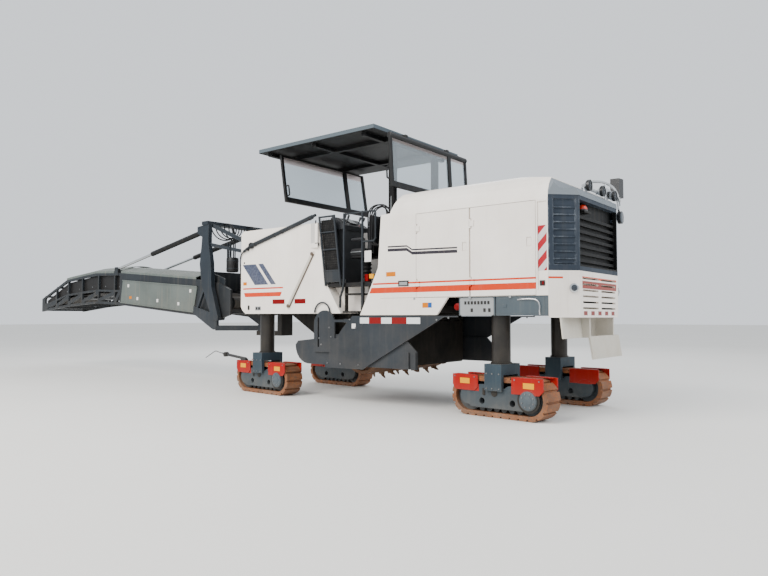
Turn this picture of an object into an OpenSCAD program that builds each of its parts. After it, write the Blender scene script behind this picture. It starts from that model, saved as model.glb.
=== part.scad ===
// Cold planer: a large road milling machine on four lifting track legs, with a front slewing discharge conveyor.
// The front, where the conveyor discharges, is at -X; the engine end is at +X; +Y is the right-hand side.

/* [Overall] */
// Width over the hood doors, which is the transport width
body_w = 2500; // [2460:10:2560]
// Height of the underside of the body above the ground, with the legs run out
deck_z = 1400; // [1390:5:1440]
// Distance from the middle of the machine to its rear face
tail_x = 7760; // [7740:10:7800]
// Distance from the middle of the machine to the tip of the conveyor
tip_x = 7760; // [7700:10:7800]

/* [Track units] */
// Place of the front legs along the machine
front_leg_x = 1880; // [1840:10:1920]
// Place of the rear legs along the machine
rear_leg_x = 6640; // [6600:10:6660]
// Distance of each leg's axis inside the body's side
leg_inset = 265; // [260:5:280]
// Length of a track over its shoes
track_len = 1540; // [1480:10:1560]
// Height of a track over its shoes
track_h = 555; // [540:5:565]
// Width of the track shoes
shoe_w = 330; // [300:10:340]
// Number of shoes on a track
shoe_n = 26; // [20:1:30]
// Depth of a shoe's pad outside the chain
pad_t = 26; // [20:1:32]
// Thickness of the chain and the shoe plates
chain_t = 42; // [34:1:50]
// Road rollers under a track frame
roller_n = 6; // [5:1:7]
// Steering angle at which the tracks are parked
park_angle = -6; // [-8:1:0]

/* [Lifting legs] */
// Radius of a lifting column
column_r = 130; // [120:1:135]
// Height of a column above its yoke
column_len = 1400; // [1300:10:1450]
// Wall of the guide sleeve
sleeve_wall = 32; // [25:1:36]
// Length of the guide sleeve
sleeve_len = 950; // [900:10:1000]
// Height of the top of the yoke above the ground
yoke_z = 730; // [720:5:740]

/* [Milling drum] */
// Place of the drum's axis along the machine
drum_x = 4150; // [4120:10:4180]
// Drop of the drum's axis below the body's underside
drum_drop = 560; // [550:5:575]
// Radius over the pick tips
cut_r = 490; // [470:5:500]
// Radius of the drum's tube
tube_r = 385; // [370:5:395]
// Space from the end of the drum to the machine's side
drum_inset = 250; // [240:5:300]
// Picks in each of the two spirals
pick_n = 24; // [16:1:30]

/* [Hood] */
// Wall of the hood
skin = 40; // [30:1:45]
// Height of the doors above the body's underside
door_foot = 250; // [240:5:260]
// Height of the doors
door_h = 1250; // [1220:5:1260]
// Place of the hinge of the front doors
door_x = 5390; // [5350:10:5420]
// Place of the hinge of the rear doors
door_mid_x = 6310; // [6280:10:6330]
// Place of the free edge of the rear doors
door_end_x = 7290; // [7270:5:7300]
// Clear gap round a door
door_gap = 6; // [5:1:8]
// Radius of the hood's shoulder
shoulder_r = 400; // [350:10:430]
// Number of louvre slats at the rear
slat_n = 8; // [6:1:10]

/* [Front body and platform] */
// Front face of the front body
nose_x = 1400; // [1390:5:1420]
// Height of the front body
nose_h = 1550; // [1520:5:1560]
// Rise of the platform floor above the body's underside
floor_rise = 520; // [500:5:540]
// Radius of the handrail tube
rail_r = 19; // [16:1:22]

/* [Canopy] */
// Reach of the roof behind its posts
roof_tail = 100; // [80:5:120]
// Length of the roof
roof_len = 2670; // [2600:10:2700]
// Height of the roof's top above the body's underside
roof_rise = 3000; // [2980:5:3020]
// Thickness of the roof
roof_t = 70; // [60:5:90]
// Distance of the canopy posts from the centre line
post_y = 620; // [580:10:660]

/* [Discharge conveyor] */
// Place of the slewing axis
slew_x = 750; // [740:5:760]
// Half width of the conveyor's truss
truss_y = 600; // [580:5:610]
// Thickness of the truss's side plates
truss_t = 50; // [40:5:60]
// Radius of the belt pulleys
pulley_r = 120; // [100:5:130]
// Width of the belt
belt_w = 900; // [850:10:920]
// Radius of a lift cylinder's barrel
barrel_r = 55; // [50:1:60]
// Radius of a lift cylinder's rod
ram_r = 32; // [28:1:36]

/* [Hidden] */
half_w = body_w / 2;
leg_y = half_w - leg_inset;
cut_w = body_w - 2 * drum_inset;

$fn = 48;
white = [0.88, 0.86, 0.80];
steel = [0.27, 0.30, 0.33];
dark = [0.10, 0.11, 0.12];
pale = [0.62, 0.64, 0.64];
rust = [0.55, 0.29, 0.12];
red = [0.75, 0.12, 0.08];

// Running gap of a pin in its bore, gap at which a piece rests by its seat, and gap between moving pieces
pin_gap = 0.5;
seat_gap = 0.3;
move_gap = 8;

drum_z = deck_z - drum_drop;

module box(x0, x1, y0, y1, z0, z1) {
    translate([x0, y0, z0]) cube([x1 - x0, y1 - y0, z1 - z0]);
}
// A sheet drawn in the X-Z plane, from y0 to y1
module sheet(y0, y1) {
    translate([0, y1, 0]) rotate([90, 0, 0]) linear_extrude(y1 - y0) children();
}
module plate(points, y0, y1) {
    sheet(y0, y1) polygon(points);
}
module rod(p, q, r) {
    d = q - p;
    len = norm(d);
    translate(p) rotate([0, acos(d[2] / len), atan2(d[1], d[0])]) cylinder(r = r, h = len);
}
// Tube through a list of points: its lengths run a little past each bend, every second one slightly thicker
module bent_tube(points, r) {
    last = len(points) - 2;
    for (i = [0 : last]) {
        past = (points[i + 1] - points[i]) / norm(points[i + 1] - points[i]) * r * 0.5;
        rod(points[i] - (i > 0 ? past : 0 * past), points[i + 1] + (i < last ? past : 0 * past), r + (i % 2) * 0.7);
    }
}
// Rectangle with round corners
module round_square(w, h, r) {
    translate([r, 0]) square([w - 2 * r, h]);
    translate([0, r]) square([w, h - 2 * r]);
    for (x = [r, w - r], y = [r, h - r]) translate([x, y]) circle(r);
}
module square_tube(p, q, a) {
    d = q - p;
    len = norm(d);
    translate(p) rotate([0, acos(d[2] / len), atan2(d[1], d[0])])
        translate([-a / 2, -a / 2, 0]) cube([a, a, len]);
}
module both() {
    children();
    mirror([0, 1, 0]) children();
}
// side is 1 on the right and -1 on the left
module on_side(side) {
    if (side > 0) children();
    else mirror([0, 1, 0]) children();
}

// Track unit, drawn round the column's axis at x = 0, y = 0
end_r = track_h / 2 - pad_t;
run = track_len - track_h;
wheel_z = track_h / 2;
loop_len = 2 * run + 2 * PI * end_r;
window_r = end_r - chain_t;
unit_shift = 40;
frame_half = shoe_w / 2 + 10;
roller_r = 45;

module stadium(r) {
    translate([-run / 2, 0]) circle(r);
    translate([run / 2, 0]) circle(r);
    translate([-run / 2, -r]) square([run, 2 * r]);
}
// Place and angle of a shoe at distance s along the loop
function shoe_place(s) =
    s < run ? [s - run / 2, -end_r, 0] :
    s < run + PI * end_r ? let (a = (s - run) / end_r * 180 / PI)
        [run / 2 + end_r * sin(a), -end_r * cos(a), a] :
    s < 2 * run + PI * end_r ? [run / 2 - (s - run - PI * end_r), end_r, 180] :
    let (a = (s - 2 * run - PI * end_r) / end_r * 180 / PI)
        [-run / 2 - end_r * sin(a), end_r * cos(a), 180 + a];

module track_loop() {
    pitch = loop_len / shoe_n;
    translate([unit_shift, shoe_w / 2, wheel_z]) rotate([90, 0, 0]) linear_extrude(shoe_w) difference() {
        union() {
            stadium(end_r);
            intersection() {
                stadium(end_r + pad_t);
                for (i = [0 : shoe_n - 1]) {
                    at = shoe_place((i + 0.5) * pitch);
                    translate([at[0], at[1]]) rotate(at[2]) translate([-pitch * 0.41, -pad_t - 10])
                        square([pitch * 0.82, pad_t + 16]);
                }
            }
        }
        stadium(window_r);
    }
}

king_r = 60;
king_len = 95;
guard_y = shoe_w / 2 + 10;
module yoke_top() {
    box(-125, 150, -guard_y - 55, guard_y + 55, track_h + 30, yoke_z);
    translate([0, 0, track_h + 32]) cylinder(r = column_r + 18, h = yoke_z - track_h - 32);
}
module bogie() {
    translate([unit_shift, 0, wheel_z]) {
        // track frame inside the loop, with its humps
        rotate([90, 0, 0]) translate([0, 0, -frame_half]) linear_extrude(2 * frame_half) difference() {
            polygon([[-run / 2, -100], [-run / 2 + 60, -150], [run / 2 - 60, -150], [run / 2, -100],
                     [run / 2 - 120, 95], [run / 2 - 260, 165], [180, 165], [110, 120], [-110, 120],
                     [-180, 165], [-run / 2 + 200, 165], [-run / 2 + 80, 95]]);
            for (x = [-run / 4, run / 4]) translate([x, -60]) circle(45);
        }
        // idler, sprocket and their hubs
        for (end = [-1, 1]) translate([end * run / 2, 0, 0]) rotate([90, 0, 0]) {
            cylinder(r = window_r - seat_gap, h = shoe_w * 0.55, center = true);
            cylinder(r = 120, h = 2 * frame_half, center = true);
        }
        // final drive at the rear end
        translate([run / 2, 0, 0]) rotate([90, 0, 0]) cylinder(r = 134, h = 2 * frame_half + 34, center = true);
        // road rollers between the frame and the chain
        for (i = [0 : roller_n - 1])
            translate([(i / (roller_n - 1) - 0.5) * (run - 380), 0, roller_r + seat_gap - window_r])
                rotate([90, 0, 0]) cylinder(r = roller_r, h = shoe_w * 0.55, center = true);
    }
    // guards over the ends of the track frame, on both faces
    both() for (span = [[-700, -265], [280, 760]]) {
        plate([[span[0] + 40, 350], [span[1] - 60, 350], [span[1], 410], [span[1], track_h + 12],
               [span[0], track_h + 12], [span[0], 420]], guard_y, guard_y + 14);
        box(span[0] + 40, span[1] - 40, guard_y - 60, guard_y + 14, track_h + 4, track_h + 16);
    }
    // yoke that straddles the track and carries the column's king pin
    both() box(-125, 150, guard_y, guard_y + 55, 370, track_h + 75);
    difference() {
        yoke_top();
        translate([0, 0, yoke_z - king_len - seat_gap]) cylinder(r = king_r + pin_gap, h = king_len + 20);
    }
}

module leg() {
    translate([0, 0, yoke_z + seat_gap]) cylinder(r = column_r, h = column_len);
    translate([0, 0, yoke_z + seat_gap]) cylinder(r = column_r + 15, h = 22);
    translate([0, 0, yoke_z - king_len]) cylinder(r = king_r, h = king_len + 10);
}

module at_leg(x, side) {
    translate([x, side * leg_y, 0]) children();
}
module at_unit(x, side) {
    at_leg(x, side) rotate([0, 0, park_angle]) on_side(side) children();
}

// Main frame: two long beams, cross members and the slewing brackets
beam_y = 470;
beam_w = 130;
beam_side = beam_y + beam_w + seat_gap;
beam_top = deck_z + 220;
frame_x0 = 1240;
frame_x1 = tail_x - 340;
pivot_low_z = 1000;
pivot_high_z = deck_z + 1400;
slew_pin_r = 60;
top_pin_r = 45;
lug_t = 40;
box_y = leg_y + column_r + sleeve_wall + 8;
lug_r = 32;
lug_at = [frame_x0 + 80, frame_x1 - 80];

module main_frame() {
    color(dark) difference() {
        union() {
            both() box(frame_x0, frame_x1, beam_y, beam_y + beam_w, deck_z + 10, beam_top);
            for (x = [frame_x0, rear_leg_x - 60, frame_x1 - 120])
                box(x, x + 120, -beam_y - 10, beam_y + 10, deck_z + 10, deck_z + 160);
            // lower slewing bracket at the front
            box(slew_x - 130, frame_x0 + 120, -150, 150, pivot_low_z, pivot_low_z + 90);
            translate([slew_x, 0, pivot_low_z]) cylinder(r = 150, h = 90);
            box(frame_x0, frame_x0 + 120, -150, 150, pivot_low_z, deck_z + 60);
            translate([slew_x, 0, pivot_low_z + 80]) cylinder(r = slew_pin_r, h = 135);
            // upper slewing bracket on the front body's face
            box(nose_x - 40, nose_x - seat_gap, -560, 560, pivot_high_z - 90, pivot_high_z + 70);
            both() square_tube([nose_x - 45, 480, pivot_high_z + 30], [slew_x + 20, 30, pivot_high_z + 50], 90);
            translate([slew_x, 0, pivot_high_z]) cylinder(r = 90, h = 95);
            translate([slew_x, 0, pivot_high_z - 100]) cylinder(r = top_pin_r, h = 120);
            // lashing lugs
            for (x = lug_at) both() plate([[x - 60, deck_z + 20], [x - 45, deck_z - 84], [x, deck_z - 109],
                [x + 45, deck_z - 84], [x + 60, deck_z + 20]], beam_y + 45, beam_y + 45 + lug_t);
        }
        for (x = lug_at) both() translate([x, beam_y + 45 + lug_t + 10, deck_z - 54]) rotate([90, 0, 0])
            cylinder(r = lug_r, h = lug_t + 20);
    }
}
// Guide sleeves of the four columns, on the sides of the long beams
module leg_sleeves() {
    color(dark) for (x = [front_leg_x, rear_leg_x], side = [-1, 1]) difference() {
        union() {
            at_leg(x, side) translate([0, 0, deck_z]) cylinder(r = column_r + sleeve_wall, h = sleeve_len);
            on_side(side) box(x - 150, x + 150, beam_side, leg_y, deck_z + 20, beam_top);
        }
        at_leg(x, side) translate([0, 0, deck_z - 20]) cylinder(r = column_r + pin_gap, h = sleeve_len + 40);
    }
}
// Outriggers from the long beams to the hood and the boxes under it
module outriggers() {
    color(dark) both() {
        for (x = [4780, 5600]) box(x, x + 90, beam_side, half_w - skin - seat_gap, deck_z + 40, deck_z + 130);
        box(7240, 7330, beam_side, box_y - seat_gap, deck_z + 40, deck_z + 130);
    }
}

// Drum housing: a casting over the drum, open below and towards the primary conveyor
house_r = cut_r + 60;
house_x0 = drum_x - house_r - 60;
house_x1 = drum_x + house_r + 60;
house_y = cut_w / 2 + 60;
edge_y = half_w - 68;

module drum_housing() {
    color(steel) {
        difference() {
            box(house_x0, house_x1, -house_y, house_y, drum_z - 240, deck_z + 10 - seat_gap);
            translate([drum_x, house_y - 30, drum_z]) rotate([90, 0, 0]) cylinder(r = house_r, h = 2 * house_y - 60);
            box(drum_x - house_r, drum_x + house_r, -house_y + 30, house_y - 30, drum_z - 300, drum_z);
            box(house_x0 - 10, drum_x, -440, 440, drum_z - 300, drum_z + 90);
            for (side = [-1, 1]) translate([drum_x, side * (house_y - 15), drum_z]) rotate([90, 0, 0])
                cylinder(r = 90 + pin_gap, h = 60, center = true);
        }
        // guides that the edge plates run on
        both() for (x = [drum_x - 450, drum_x + 410])
            box(x, x + 60, house_y, edge_y - seat_gap, drum_z - 230, drum_z + 190 - seat_gap);
        // lugs and shaft that carry the scraper
        for (y = scraper_lug_y) box(house_x1 - 10, scraper_pin[0] + 35, y - 20, y + 20, scraper_pin[2] - 35, scraper_pin[2] + 35);
        translate([scraper_pin[0], scraper_lug_y[3], scraper_pin[2]]) rotate([90, 0, 0])
            cylinder(r = scraper_pin_r, h = scraper_lug_y[3] - scraper_lug_y[0]);
    }
}
scraper_pin = [house_x1 + 50, 0, deck_z - 60];
scraper_pin_r = 22;
scraper_lug_y = [-960, -320, 320, 960];

module milling_drum() {
    color(rust) translate([drum_x, 0, drum_z]) rotate([90, 0, 0]) {
        difference() {
            cylinder(r = tube_r, h = cut_w, center = true);
            for (end = [-1, 1]) translate([0, 0, end * cut_w / 2]) cylinder(r = tube_r - 50, h = 120, center = true);
        }
        cylinder(r = 90, h = 2 * house_y, center = true);
        for (hand = [-1, 1], i = [0 : pick_n - 1])
            rotate([0, 0, hand * i * 360 * 1.5 / pick_n])
            translate([0, 0, hand * (cut_w / 2 - 40 - i * (cut_w / 2 - 60) / pick_n)])
                pick();
    }
}
// A pick in its holder, tilted to the cut, with its tip on the cutting circle
module pick() {
    seat_r = tube_r + 25;
    lean = 45;
    reach = sqrt(cut_r * cut_r - pow(seat_r * sin(lean), 2)) - seat_r * cos(lean);
    translate([tube_r - 15, -48, -24]) cube([46, 92, 48]);
    translate([seat_r, 0, 0]) rotate([0, 90, lean]) {
        translate([0, 0, -20]) cylinder(r = 26, h = reach * 0.45 + 20);
        cylinder(r = 17, h = reach * 0.62);
        translate([0, 0, reach * 0.62]) cylinder(r1 = 21, r2 = 5, h = reach * 0.38);
    }
}

// Outer side plates of the frame
module side_plates() {
    top = deck_z - 12;
    low = drum_z - 290;
    color(steel) both() {
        plate([[3560, low], [4353, low], [5860, top - 20], [6100, top - 20], [6100, top], [4150, top],
               [3950, drum_z + 360], [3740, drum_z + 110], [3620, drum_z - 140]], half_w - side_t, half_w);
        box(house_x0 + 60, house_x1 - 60, house_y, half_w - 20, drum_z + 190, drum_z + 250);
        box(drum_x - 200, drum_x + 200, house_y, half_w - 20, deck_z - 120, deck_z - 60);
        lift_bracket();
        // links from the bracket to the side plate
        box(arm_x + arm_r - 10, 4100, half_w - side_t, half_w, top - 100, top - 60);
        box(arm_x + arm_r - 10, 3850, half_w - side_t, half_w, drum_z + 150, drum_z + 190);
    }
}
// Bracket in which the front arm of the edge plate slides, with a hose over it
side_t = 30;
arm_x = 3540;
arm_r = 230;
arm_top = deck_z + 80;
arm_slot_r = 18;
module lift_bracket() {
    sheet(half_w - side_t, half_w) difference() {
        union() {
            translate([arm_x, arm_top - arm_r]) circle(arm_r);
            translate([arm_x - arm_r, drum_z - 40]) square([2 * arm_r, arm_top - arm_r - drum_z + 40]);
        }
        slot_z = [drum_z + 50, arm_top - 130];
        for (z = slot_z) translate([arm_x - 130, z]) circle(arm_slot_r);
        translate([arm_x - 130 - arm_slot_r, slot_z[0]]) square([2 * arm_slot_r, slot_z[1] - slot_z[0]]);
    }
    translate([arm_x - 60, half_w - side_t / 2, deck_z + 40]) rotate([90, 0, 0]) rotate_extrude(angle = 180)
        translate([170, 0]) circle(13);
}

// Inclined conveyor from the drum housing to the slewing axis
module primary_conveyor() {
    low = [3380, 0, drum_z - 110];
    head = [slew_x - 110, 0, deck_z + 940];
    tilt = atan2(head[2] - low[2], low[0] - head[0]);
    len = norm(head - low);
    color(steel) {
        translate(low) rotate([0, tilt, 0]) difference() {
            box(-len, 0, -430, 430, -140, 140);
            box(-len - 10, 10, -400, 400, -20, 110);
            box(-len + 60, -60, -400, 400, -110, -50);
        }
        // chute at the head, round the slewing axis
        difference() {
            box(slew_x - 190, slew_x + 130, -450, 450, deck_z + 700, deck_z + 1110);
            box(slew_x - 160, slew_x + 100, -420, 420, deck_z + 690, deck_z + 1080);
        }
        // feet between the long beams
        both() box(2020, 2140, 425, beam_y - seat_gap, deck_z + 40, deck_z + 150);
    }
}

// Front body with its tunnel for the conveyor and the wells of the front legs
// Rear edge of the front body: height, place
nose_back = [[deck_z + 30, 3870], [deck_z + 520, 3548], [deck_z + 1180, 3406], [deck_z + nose_h, 3400]];
nose_half = half_w - 40;
well_y = half_w - 230;
module front_body() {
    top = deck_z + nose_h;
    color(white) difference() {
        plate(concat([[nose_x, deck_z + 160], [nose_x + 45, deck_z + 90], [nose_x + 130, deck_z + 30]],
                     [for (p = nose_back) [p[1], p[0]]], [[nose_x + 60, top], [nose_x, top - 60]]),
              -nose_half, nose_half);
        plate([[3300, deck_z - 10], [nose_x - 20, deck_z + 880], [nose_x - 20, deck_z - 10]], -620, 620);
        both() box(nose_x - 10, 3900, beam_y - 10, beam_y + beam_w + 10, deck_z, beam_top + seat_gap);
        for (side = [-1, 1]) on_side(side) {
            translate([front_leg_x, leg_y, deck_z]) cylinder(r = column_r + sleeve_wall + 6, h = nose_h - 60);
            box(front_leg_x - 160, front_leg_x + 160, beam_y, leg_y, deck_z, beam_top + 10);
        }
    }
    color(white) both() {
        // side box, stay rod and the back of the step well
        translate([0, 0, top - 420]) linear_extrude(415)
            polygon([[3180, nose_half - 1], [3330, half_w + 8], [3388, half_w + 8], [3388, nose_half - 1]]);
        rod([2660, nose_half + 12, deck_z + 145], [3250, nose_half + 12, deck_z + 1050], 11);
        for (p = [[2660, deck_z + 145], [3250, deck_z + 1050]])
            box(p[0] - 22, p[0] + 22, nose_half - 1, nose_half + 26, p[1] - 22, p[1] + 22);
        box(lookup(floor_z, nose_back) - 40, hood_x0 - 20, well_y - 30, well_y - seat_gap, deck_z + 30,
            floor_z - 60 - seat_gap);
    }
}

// Hood: cross section and side outline, each with an inset for the inner face
door_top = deck_z + door_foot + door_h;
hood_x0 = 4310;
hood_x1 = tail_x - 300;
// Front edge of the hood: height, place
hood_front = [[deck_z, hood_x0], [deck_z + 360, hood_x0 + 180], [deck_z + 730, hood_x0 + 360],
              [door_top + 40, hood_x0 + 420]];
function hood_section(t) = [
    [-half_w + t, deck_z - 60], [half_w - t, deck_z - 60],
    for (a = [0 : 15 : 90]) [half_w - shoulder_r + (shoulder_r - t) * cos(a), door_top + (shoulder_r - t) * sin(a)],
    for (a = [90 : 15 : 180]) [-half_w + shoulder_r + (shoulder_r - t) * cos(a), door_top + (shoulder_r - t) * sin(a)]];
function hood_side(t) = [
    [hood_x0 + t * 1.1, deck_z - (t > 0 ? 20 : 0)], [hood_x0 + 180 + t * 1.1, deck_z + 360],
    [hood_x0 + 360 + t, deck_z + 730], [hood_x0 + 420 + t, door_top + 40 - t],
    [hood_x0 + 590 + t, door_top + 50 - t], [hood_x0 + 700 + t, door_top + 370 - t],
    [6670, door_top + 430 - t], [hood_x1 - t, door_top + 300 - t],
    [hood_x1 - t, deck_z + (t > 0 ? -20 : door_foot)], [5940, deck_z + (t > 0 ? -20 : door_foot)],
    [5750, deck_z - (t > 0 ? 20 : 0)]];
module hood_form(t) {
    intersection() {
        translate([hood_x0 - 50, 0, 0]) rotate([90, 0, 90]) linear_extrude(hood_x1 - hood_x0 + 100)
            polygon(hood_section(t));
        plate(hood_side(t), -half_w - 10, half_w + 10);
    }
}
door_low = deck_z + door_foot + 8;
door_high = door_top - 8;
hinge_len = 80;
hinge_pin_r = 7;
hinge_z = [door_low + 160, door_high - 260];

module hinge_post(x) {
    box(x - 45, x + 45, half_w - skin - 40, half_w - skin - move_gap, door_low - 6, door_high + 10);
    for (z = hinge_z) {
        for (dz = [-22, hinge_len + 2]) box(x - 14, x + 14, half_w - skin - 20, half_w + 12, z + dz, z + dz + 20);
        translate([x, half_w, z - 10]) cylinder(r = hinge_pin_r, h = hinge_len + 20);
    }
}
module hood() {
    color(white) {
        difference() {
            hood_form(0);
            hood_form(skin);
            both() box(door_x - door_gap / 2, door_end_x + door_gap / 2, half_w - skin - 10, half_w + 20,
                       door_low - door_gap, door_high + door_gap);
            both() for (z = hinge_z) box(door_x - 20, door_x, half_w - skin - 10, half_w + 20, z - 2, z + hinge_len + 2);
            both() box(door_end_x + 25, hood_x1 - 15, half_w - 14, half_w + 10, door_low + 60, door_high - 20);
            // notches where the frame's beams and the drum housing pass
            both() box(hood_x0 - 10, hood_x0 + 400, beam_y - 10, beam_y + beam_w + 10, deck_z - 10, beam_top + 10);
            box(hood_x0 - 10, hood_x0 + 500, -house_y - 10, house_y + 10, deck_z - 10, deck_z + 20);
        }
        both() {
            hinge_post(door_x);
            hinge_post(door_mid_x);
            box(door_x - 60, door_end_x + 60, half_w - skin - 40, half_w - skin + 2, door_high + door_gap, door_high + 40);
        }
    }
}

// A door drawn on the right, hinged at x0 and free at x1; its free edge clears the knuckles of the next door
knuckle_r = 14;
module door(x0, x1, knuckles_at_end) {
    free_x = x1 - (knuckles_at_end ? knuckle_r + door_gap : door_gap / 2);
    color(white) {
        difference() {
            box(x0 + door_gap / 2, free_x, half_w - skin, half_w, door_low, door_high);
            for (z = hinge_z) box(x0 - 22, x0 + 22, half_w - skin - 10, half_w + 20, z - 30, z + hinge_len + 30);
            box(x1 - 130, x1 - 60, half_w - 12, half_w + 1, door_low + 640, door_low + 760);
        }
        for (z = hinge_z) {
            difference() {
                union() {
                    translate([x0, half_w, z + 1]) cylinder(r = knuckle_r, h = hinge_len);
                    box(x0, x0 + 60, half_w - 12, half_w + 12, z + 1, z + hinge_len + 1);
                }
                translate([x0, half_w, z - 10]) cylinder(r = hinge_pin_r + pin_gap, h = hinge_len + 20);
            }
        }
    }
}

module engine_block() {
    color(dark) {
        box(4950, 6350, -430, 430, beam_top - 150, beam_top + 900);
        box(6340, 7250, -520, 520, beam_top + 120, beam_top + 1150);
        for (x = [5100, 6150]) both() box(x, x + 100, 420, beam_y + 80, beam_top + seat_gap, beam_top + 60);
        for (x = [6520, 7120]) both() box(x, x + 90, beam_y, beam_y + 50, beam_top + seat_gap, beam_top + 140);
    }
}

// Rear end: plan outline with its cut corners
function tail_plan(t) = [
    [hood_x1 + seat_gap, -half_w + t * 1.4], [tail_x - t, -half_w + 300 + t * 0.4],
    [tail_x - t, half_w - 750 - t * 0.4], [hood_x1 + seat_gap, half_w - t * 1.4]];
module tail_ring(t0, t1) {
    difference() {
        polygon(tail_plan(t0));
        translate([-1, 0]) polygon(tail_plan(t1));
    }
}
grille_z = deck_z + 570;
grille_top = door_top + 60;
cap_z = grille_top + 80;
// Rear corner plates and the rear face between them
rear_edge = [-half_w + 300, half_w - 750];
beacon = [tail_x - 80, rear_edge[0] + 310, grille_top - 180];
beacon_r = 68;
module rear_part() {
    intersection() {
        children();
        translate([hood_x1, rear_edge[0] + 20]) square([400, rear_edge[1] - rear_edge[0] - 40]);
    }
}
module corner_part() {
    difference() {
        children();
        translate([tail_x - 200, rear_edge[0]]) square([400, rear_edge[1] - rear_edge[0]]);
    }
}
module rear_grille() {
    h = grille_top - grille_z;
    color(dark) difference() {
        grille_form(h, (h - 130) / (slat_n + 1));
        // pocket for the beacon
        box(beacon[0] - 110, tail_x + 10, beacon[1] - 110, beacon[1] + 110, beacon[2], grille_top - 62);
    }
}
module grille_form(h, pitch) {
    translate([0, 0, grille_z + seat_gap]) linear_extrude(h) polygon(tail_plan(90));
    translate([0, 0, grille_z + seat_gap]) linear_extrude(80) polygon(tail_plan(0));
    translate([0, 0, grille_top - 60]) linear_extrude(60) polygon(tail_plan(4));
    // posts at the corners
    translate([0, 0, grille_z + 70]) linear_extrude(h - 120) intersection() {
        tail_ring(2, 92);
        union() {
            for (y = rear_edge) translate([tail_x - 55, y - 28]) square([60, 56]);
            for (side = [-1, 1]) translate([hood_x1 - 10, side * (half_w - 50) - 60]) square([60, 120]);
        }
    }
    // louvre slats: a lip over a deeper blade on the corners, plain blades across the rear
    for (i = [1 : slat_n]) translate([0, 0, grille_z + 50 + i * pitch]) {
        linear_extrude(16) corner_part() tail_ring(6, 92);
        translate([0, 0, -26]) linear_extrude(30) corner_part() tail_ring(30, 92);
        if (i < slat_n) translate([0, 0, -20]) linear_extrude(38) rear_part() tail_ring(42, 92);
    }
    // shelf under the beacon
    box(beacon[0] - 110, tail_x - 6, beacon[1] - 110, beacon[1] + 110, beacon[2] - 24, beacon[2] + 10);
    // rounded cap
    intersection() {
        translate([hood_x1 - 50, 0, 0]) rotate([90, 0, 90]) linear_extrude(400) polygon(hood_section(0));
        translate([0, 0, grille_top - 10]) linear_extrude(400) polygon(tail_plan(0));
        plate([[hood_x1, grille_top - 10], [tail_x, grille_top - 10], [tail_x, grille_top + 30],
               [tail_x - 30, cap_z], [hood_x1 + 120, cap_z], [hood_x1, door_top + 290]], -half_w, half_w);
    }
}
module rear_panel() {
    z0 = deck_z - 36;
    h = grille_z - z0;
    color(white) difference() {
        translate([0, 0, z0]) linear_extrude(h) tail_ring(0, 40);
        for (row = [0 : 5], y = [-850, -180])
            box(tail_x - 60, tail_x + 10, y, y + 560, z0 + 110 + row * 78, z0 + 134 + row * 78);
    }
}
module rear_skirt() {
    low = deck_z - 310;
    top = deck_z - 36 - seat_gap;
    x0 = frame_x1 + seat_gap;
    color(pale) {
        plate([[hood_x1 + 100, top], [hood_x1 + 130, low], [hood_x1 + 150, low], [hood_x1 + 120, top]], -half_w + 110, -470);
        for (y = [-480, 440]) box(x0, tail_x - 60, y, y + 40, low, top);
        box(x0, x0 + 30, -480, 480, low, deck_z + 100);
        plate([[tail_x - 90, low + 20], [tail_x - 40, low - 290], [tail_x - 20, low - 290], [tail_x - 65, low + 20]], -460, 700);
    }
}

// Boxes under the rear doors
module side_boxes() {
    z0 = deck_z - 10;
    z1 = deck_z + door_foot - seat_gap;
    color(steel) both() {
        difference() {
            box(6110, 6680, box_y, half_w - 25, z0, z1);
            for (i = [0 : 6]) box(6160 + i * 70, 6160 + i * 70 + 36, half_w - 45, half_w, z0 + 110, z0 + 200);
        }
        box(6700, 7450, box_y, half_w - 15, z0, z1);
        box(6670, 6710, box_y, half_w - 40, z0 + 20, z1 - 20);
    }
}

// Platform, seats and consoles
floor_z = deck_z + floor_rise;
post_x = 4480;
post_a = 100;
post_base = deck_z + 1600;
// Centre line of a seat and its console
seat_y = half_w - 450;
module platform() {
    x0 = lookup(floor_z - 60, nose_back) + seat_gap;
    x1 = lookup(floor_z - 60, hood_front) - seat_gap;
    color(dark) {
        box(x0, x1, -nose_half + 1, nose_half - 1, floor_z - 60, floor_z);
        box(3900, 4300, -beam_y - beam_w, beam_y + beam_w, beam_top + seat_gap, floor_z - 50);
        both() difference() {
            box(post_x - post_a / 2 - 25, post_x + post_a / 2 + 25, post_y - post_a / 2 - 25,
                post_y + post_a / 2 + 25, floor_z - 10, post_base);
            box(post_x - post_a / 2 - pin_gap, post_x + post_a / 2 + pin_gap, post_y - post_a / 2 - pin_gap,
                post_y + post_a / 2 + pin_gap, floor_z + 20, post_base + 10);
        }
    }
}
module seats() {
    color(dark) both() {
        translate([4080, seat_y, floor_z + seat_gap]) cylinder(r = 70, h = 440);
        box(3900, 4260, seat_y - 200, seat_y + 200, floor_z + 420, floor_z + 455);
        sheet(seat_y - 240, seat_y + 240) translate([3870, floor_z + 450]) round_square(430, 120, 45);
        sheet(seat_y - 220, seat_y + 220) translate([4218, floor_z + 500]) rotate(-4) round_square(110, 640, 50);
        for (y = [seat_y - 270, seat_y + 222]) {
            sheet(y, y + 48) translate([3940, floor_z + 690]) round_square(300, 55, 24);
        }
        for (y = [seat_y - 255, seat_y + 235]) box(4200, 4240, y, y + 20, floor_z + 440, floor_z + 700);
        for (y = [seat_y - 255, seat_y + 195]) box(4200, 4240, y, y + 60, floor_z + 425, floor_z + 452);
    }
}
lever_y = [seat_y - 240, seat_y - 140, seat_y + 160, seat_y + 240];
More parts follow.
